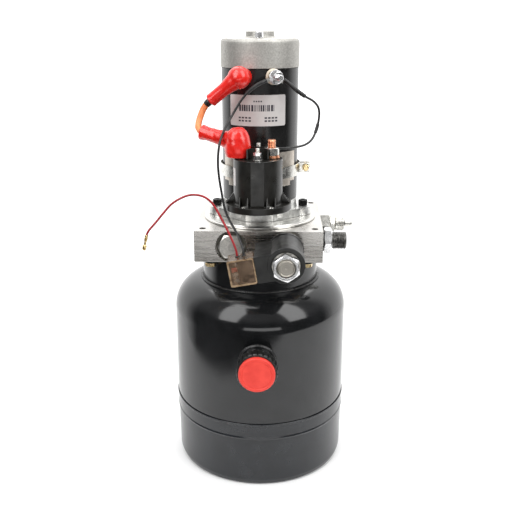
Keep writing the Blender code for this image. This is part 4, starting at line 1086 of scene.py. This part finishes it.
def add_label():
    """A plain sticker whose bars and dashes stand for print and say nothing."""
    radius = extent("motor_housing")[1].x + 0.04
    paper = 0.12
    start, end = -137.0, -49.0
    add("motor_label", patch(radius, paper, start, end, 376.7, 407.0, 1.6), "paper", sharp=60)
    rng = random.Random(12)
    marks = []

    def mark(first, width, low, high):
        marks.append(patch(radius + paper, 0.03, first, first + width, low, high))

    angle = start + 17
    while angle < end - 18:
        width = rng.choice((0.9, 1.4, 2.2, 3.0))
        mark(angle, width, 391.2, 397.4)
        angle += width + rng.choice((0.9, 1.3, 1.8))
    for first, last in ((start + 16, -102.0), (-82.0, -66.0)):
        angle = first
        while angle < last:
            mark(angle, 3.6, 381.0, 382.6)
            mark(angle, 3.6, 384.0, 385.6)
            angle += 5.2
    for k in range(4):
        mark(3.4 * k - 98.0, 2.0, 400.2, 401.6)
    add("motor_label_marks", gathered(marks), "ink", sharp=60)


def add_terminals():
    bush = [(3.4, 39.6), (7.6, 39.6), (7.6, 42.2, 0.6), (6.9, 42.6, 0.3), (3.4, 42.6)]
    add("terminal_bush", turned(bush, 64, True), "insulator", TERMINAL)
    add("terminal_inner_nut", nut(11.4, 42.6, 45.4, 3.0, 12), "zinc", TERMINAL, sharp=20)
    washer = [(3.1, 47.5), (7, 47.5, 0.3), (7, 49, 0.5), (3.1, 49)]
    add("terminal_washer", turned(washer, 64, True), "bright_chrome", TERMINAL)
    add("terminal_nut", nut(10.4, 49.1, 55, 3.0, 40), "bright_chrome", TERMINAL, sharp=20)
    stud = [(0, 36), (3, 36), (3, 61.5), (2.4, 62.3), (0, 62.3)]
    add("terminal_stud", threaded(stud, 3, 1.0, 45, 61.4, 40), "bright_chrome", TERMINAL,
        replaces=["motor_terminal_right"], sharp=50)
    add_ring_lug("earth_ring_lug", 45.45, Vector(EARTH_ROUTE[2]) / MM)
    add_ring_lug("relay_ring_lug", 46.45, Vector(RELAY_LEAD_ROUTE[2]) / MM)


def add_ring_lug(name, height, target):
    """A tinned ring round the terminal, with its tail towards a lead's start."""
    place, turn = TERMINAL
    to_world = Matrix.Translation(place) @ Euler([math.radians(angle) for angle in turn]).to_matrix().to_4x4()
    local = to_world.inverted() @ target
    ring = turned([(3.1, height), (5.4, height), (5.4, height + 0.9), (3.1, height + 0.9)], 64, True, 0.15)
    tail = box((4.6, -1.7, height + 0.05), (9.2, 1.7, height + 0.85))
    tail = posed(tail, rotation=(0, 0, math.degrees(math.atan2(local.y, local.x))))
    add(name, gathered([ring, tail]), "zinc", TERMINAL)


# Start relay


def add_relay():
    low, high = extent("relay_housing")
    place = at(0, RELAY_Y)
    top = 351.4
    outline = [(0, low.z), (32.3, low.z, 0.8), (32.3, 308.7, 0.4), (30.9, 308.7, 0.3), (30.5, 308.0, 0.4)]
    outline += [(24.4, 308.0, 0.5), (23.7, 309, 0), (23.5, top, 0.7), (0, top)]
    joins = [box((-6.2, -24.6, 305), (6.2, -15, top - 0.15))]
    for middle, start in ((-13.5, 0), (13.5, 180)):
        wall = arc(0, middle, 10.5, start, start + 180, 28) + arc(0, middle, 9.2, start + 180, start, 28)
        joins.append(prism(wall, top - 2, high.z))
    joins += [gusset(x) for x in (-17.0, -9.2, 9.2, 17.0)]
    joins += [side_gusset(side, y) for side in (-1, 1) for y in (-3.2, 3.2)]
    inside = turned([(0, 290), (6.5, 290), (6.5, 306), (19, 306), (19, 345), (0, 345)], 64, fillet=0)
    holes = [cylinder(4.3, 343, 355, 32, x, 0) for x in (-13, 13)]
    holes += [cylinder(2.3, 346.6, 355, 32, 0, y) for y in (-16, 16)]
    holes += [cylinder(1.9, 295, 312, 32, *around(27.8, angle)) for angle in (-118, -62, 0, 180, 62, 118)]
    add("relay_case", turned(outline, 128), "relay_plastic", place, replaces=["relay_housing"], joins=joins,
        cuts=[inside, gathered(holes)], bevel=0.3)
    # Bright zinc rings in four flange holes: a painted highlight that stands in for the light seen down
    # through the holes.
    highlight_eyelets = []
    for angle in (-118, -62, 62, 118):
        highlight_eyelet = [(1.0, 307.2), (1.75, 307.2), (1.75, 308.2), (3.2, 308.2), (3.0, 308.9), (1.2, 308.9)]
        highlight_eyelets.append(posed(turned(highlight_eyelet, 40, True, 0.15), (*around(27.8, angle), 0)))
    add("relay_highlight_eyelets", gathered(highlight_eyelets), "zinc", place)
    add("relay_sticker", patch(23.55, 0.12, 181, 207, 326, 343, 0.8), "paper", place, sharp=60)


def around(radius, angle):
    """The point at an angle in degrees on a circle about the origin."""
    return radius * math.cos(math.radians(angle)), radius * math.sin(math.radians(angle))


def swapped(shape, rows):
    """The shape with its axes exchanged, each row saying where a new axis comes from."""
    bmesh.ops.transform(shape, matrix=Matrix(rows).to_4x4(), verts=shape.verts)
    bmesh.ops.recalc_face_normals(shape, faces=shape.faces)
    return shape


def gusset(x):
    """A thin rib between the relay's body and the front of its flange."""
    near, far = -math.sqrt(23.0 ** 2 - x * x), -math.sqrt(31.4 ** 2 - x * x)
    shape = prism([(near, 305.5), (far, 305.5), (far, 308.9), (near, 317.5)], x - 0.55, x + 0.55)
    return swapped(shape, ((0, 0, 1), (1, 0, 0), (0, 1, 0)))


def side_gusset(side, y):
    """One of the two ribs that stand each side of the relay."""
    near, far = sorted((side * 22.5, side * 31.0))
    tall, short = (319.0, 308.4) if side > 0 else (308.4, 319.0)
    shape = prism([(near, 305.5), (far, 305.5), (far, short), (near, tall)], -y - 0.6, -y + 0.6)
    return swapped(shape, ((1, 0, 0), (0, 0, -1), (0, 1, 0)))


def add_relay_studs():
    low, high = extent("relay_stud_right")
    place = at((low.x + high.x) / 2, (low.y + high.y) / 2)
    top = high.z
    rod = [(0, 341), (4, 341), (4, top - 0.8), (3.2, top), (0, top)]
    add("battery_stud", threaded(rod, 4, 1.25, 352, top - 0.6, 48), "copper", place,
        replaces=["relay_stud_right"], sharp=50)
    for number, (radius, base) in enumerate([(7.9, 351.75), (7.3, 352.95)]):
        washer = [(4.1, base), (radius, base, 0.3), (radius, base + 1.1, 0.3), (4.1, base + 1.1)]
        add(f"battery_washer_{number + 1}", turned(washer, 64, True), "copper", place)
    add("battery_nut", nut(13, 354.2, 361.4, 4, 20), "zinc", place, sharp=20)
    for name in ("relay_coil_stud_front", "relay_coil_stud_rear"):
        low, high = extent(name)
        place = at(0, (low.y + high.y) / 2)
        top = high.z
        rod = [(0, 347), (2, 347), (2, top - 0.5), (1.4, top), (0, top)]
        rod = threaded(rod, 2, 0.7, 352, top - 0.4, 32)
        add(f"{name}_rod", rod, "zinc", place, replaces=[name], sharp=50)
        washer = [(2.1, 351.7), (4.3, 351.7, 0.2), (4.3, 352.6, 0.2), (2.1, 352.6)]
        add(f"{name}_washer", turned(washer, 48, True), "zinc", place)
        add(f"{name}_nut_1", nut(7, 352.7, 355.6, 2, 25), "bright_chrome", place, sharp=20)
        add(f"{name}_nut_2", nut(7, 356.4, 359.2, 2, 5), "bright_chrome", place, sharp=20)
    ring = turned([(2.1, 0), (3.9, 0), (3.9, 0.5), (2.1, 0.5)], 48, True, 0.1)
    tail = box((3.2, -1.3, 0.05), (7.5, 1.3, 0.45))
    add("relay_end_lug", gathered([ring, tail]), "zinc", ((0, -57.5, 355.9), (0, 0, 5)))


def add_relay_mounting():
    low, high = extent("relay_saddle")
    inner = extent("motor_housing")[1].x + 0.3
    sheet = arc(0, 0, inner, 210, 330, 60) + arc(0, 0, inner + 1.5, 330, 210, 60)
    pads = [box((-11, -49.6, 337.5), (11, -40.2, 348.5)), box((-11, -49.6, 316.5), (11, -40.2, 321))]
    notches = [box((near, -45, 310), (near + 13.5, 0, 319.6)) for near in (-45, 31.5)]
    add("relay_cradle", prism(sheet, low.z, high.z), "saddle_zinc", replaces=["relay_saddle"], joins=pads,
        cuts=notches, bevel=0.4)
    inner += 1.8
    start = 4.5
    band = arc(0, 0, inner, start, 360 - start, 120) + arc(0, 0, inner + 0.8, 360 - start, start, 120)
    lugs = []
    for side in (-1, 1):
        outline = rounded([(inner - 0.3, 324), (53, 324), (53, 334), (inner - 0.3, 334)], 2.0, True, 6)
        lug = prism(outline, *sorted((side * 3.2, side * 5)))
        lugs.append(swapped(lug, ((1, 0, 0), (0, 0, 1), (0, 1, 0))))
    add("clamp_band", prism(band, 323, 335), "zinc", replaces=["band_clamp"], joins=lugs, bevel=0.25)
    screw = ((48, 0, 329.6), FORWARD)
    rod = [(0, -10), (2.4, -10), (2.4, 11.4), (1.9, 12), (0, 12)]
    add("clamp_screw", threaded(rod, 2.4, 0.9, -3, 11.5, 36), "yellow_zinc", screw, sharp=50)
    add("clamp_nut", nut(6.6, -10.4, -6.6, 2.3, 10), "black_oxide", screw, sharp=20)
    add("clamp_head", nut(6.6, 5.2, 8.4, 2.3, 30), "yellow_zinc", screw, sharp=20)


# Boots


def creased(piece, centre, folds, depth):
    """Presses soft folds into a boot: ridges round a centre, deeper where the noise is low."""
    for vert in piece.data.vertices:
        place = vert.co / MM - Vector(centre)
        wave = 0.0
        for heading, wavelength, weight in folds:
            along = place.dot(Vector(heading)) / wavelength
            wave -= weight * math.exp(-((along % 1 - 0.5) / 0.16) ** 2)
        wave += 0.6 * noise.noise(place * 0.1)
        vert.co += vert.normal * (wave * depth * MM)
    piece.data.update()


def finish_boot(piece, node):
    soften(piece, 8)
    piece.data.shade_smooth()
    dress(piece, "red_vinyl", "root", [node])


def along(start, end):
    """Rotation in degrees that turns Z to point from start to end."""
    return [math.degrees(angle) for angle in (end - start).to_track_quat("Z", "Y").to_euler()]


def add_upper_boot():
    outline = [(0, 40.7), (8, 40.7), (8, 47)]
    outline += [(reach, 55 + height) for reach, height in arc(0, 0, 11, -40, 86, 26)] + [(0, 66)]
    dome = posed(turned(outline, 72, False, 0.3), (0, 0, TERMINAL_Z), (90, 0, -TERMINAL_ANGLE))
    start = Vector((-19.5, -53.6, TERMINAL_Z))
    end = Vector((-46.9, -47.5, 402.3))
    length = (end - start).length
    tube = [(0, 0), (8.4, 0), (8.2, 8), (7.2, 13), (6.5, 18), (6.4, length - 3)]
    tube += [(6.7, length - 1.5), (6.5, length), (5.1, length), (4.4, length - 4), (0, length - 4)]
    sleeve = posed(turned(tube, 64, False, 0.6), start, along(start, end))
    piece = fused("upper_boot_skin", [dome, sleeve], 0.5, 5)
    across = (end - start).cross(Vector((0, -1, 0))).normalized()
    creased(piece, start, [(tuple(across), 9.0, 0.9)], 0.16)
    finish_boot(piece, "upper_boot")


def add_lower_boot():
    outline = [(0, 352.2), (12, 352.2), (12.8, 357), (12.6, 364), (11.4, 371), (9, 376.8)]
    outline += [(5.2, 380.2), (0, 381)]
    bell = posed(turned(outline, 72, False, 1.5), (-19.2, RELAY_Y, 0))
    start = Vector((-19.5, -73.4, 365.8))
    end = Vector((-55, -58.5, 373.8))
    length = (end - start).length
    tube = [(0, 0), (9.6, 0), (9.2, 8), (7.6, 17), (6.9, 24), (7.2, length - 6), (7.9, length)]
    tube += [(6.3, length), (4.1, length - 12.6), (0, length - 12.6)]
    sleeve = posed(turned(tube, 64, False, 0.6), start, along(start, end))
    piece = fused("lower_boot_skin", [bell, sleeve], 0.5, 6)
    folds = [((0.8, -0.2, 0.55), 11.0, 1.0), ((-0.35, -0.3, 0.9), 14.0, 0.8), ((0.1, 0.2, 1.0), 9.0, 0.35)]
    creased(piece, (-19.2, RELAY_Y, 366), folds, 0.3)
    finish_boot(piece, "lower_boot")


# What stays as the CAD made it


def dress_inner_parts():
    looks = {
        "check_poppet": "plain_steel", "relief_poppet": "plain_steel", "relief_spring": "plain_steel",
        "valve_plunger": "plain_steel", "valve_spring": "plain_steel", "pump_body": "milled_aluminium",
        "pump_cover": "milled_aluminium", "drive_gear": "plain_steel", "driven_gear": "plain_steel",
        "suction_pipe": "plain_steel", "suction_strainer": "brass", "motor_terminal_left": "zinc",
        "armature": "plain_steel", "lower_bearing": "bright_chrome", "brush_ring": "black_plastic",
        "shaft_coupling": "plain_steel", "relay_plunger": "copper", "relay_stud_left": "copper",
    }
    for node, look in looks.items():
        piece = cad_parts[node]
        for index in range(len(piece.data.materials)):
            piece.material_slots[index].link = "OBJECT"
            piece.material_slots[index].material = LOOKS[look]


make_looks()
add_camera()
add_leads()
add_studio()
add_tank()
add_tank_base()
add_filler_cap()
add_block()
add_plug()
add_outlet()
add_relief()
add_solenoid_valve()
add_connector()
add_tank_bolts()
add_flange()
add_motor_case()
add_label()
add_terminals()
add_relay()
add_relay_studs()
add_relay_mounting()
add_upper_boot()
add_lower_boot()
dress_inner_parts()
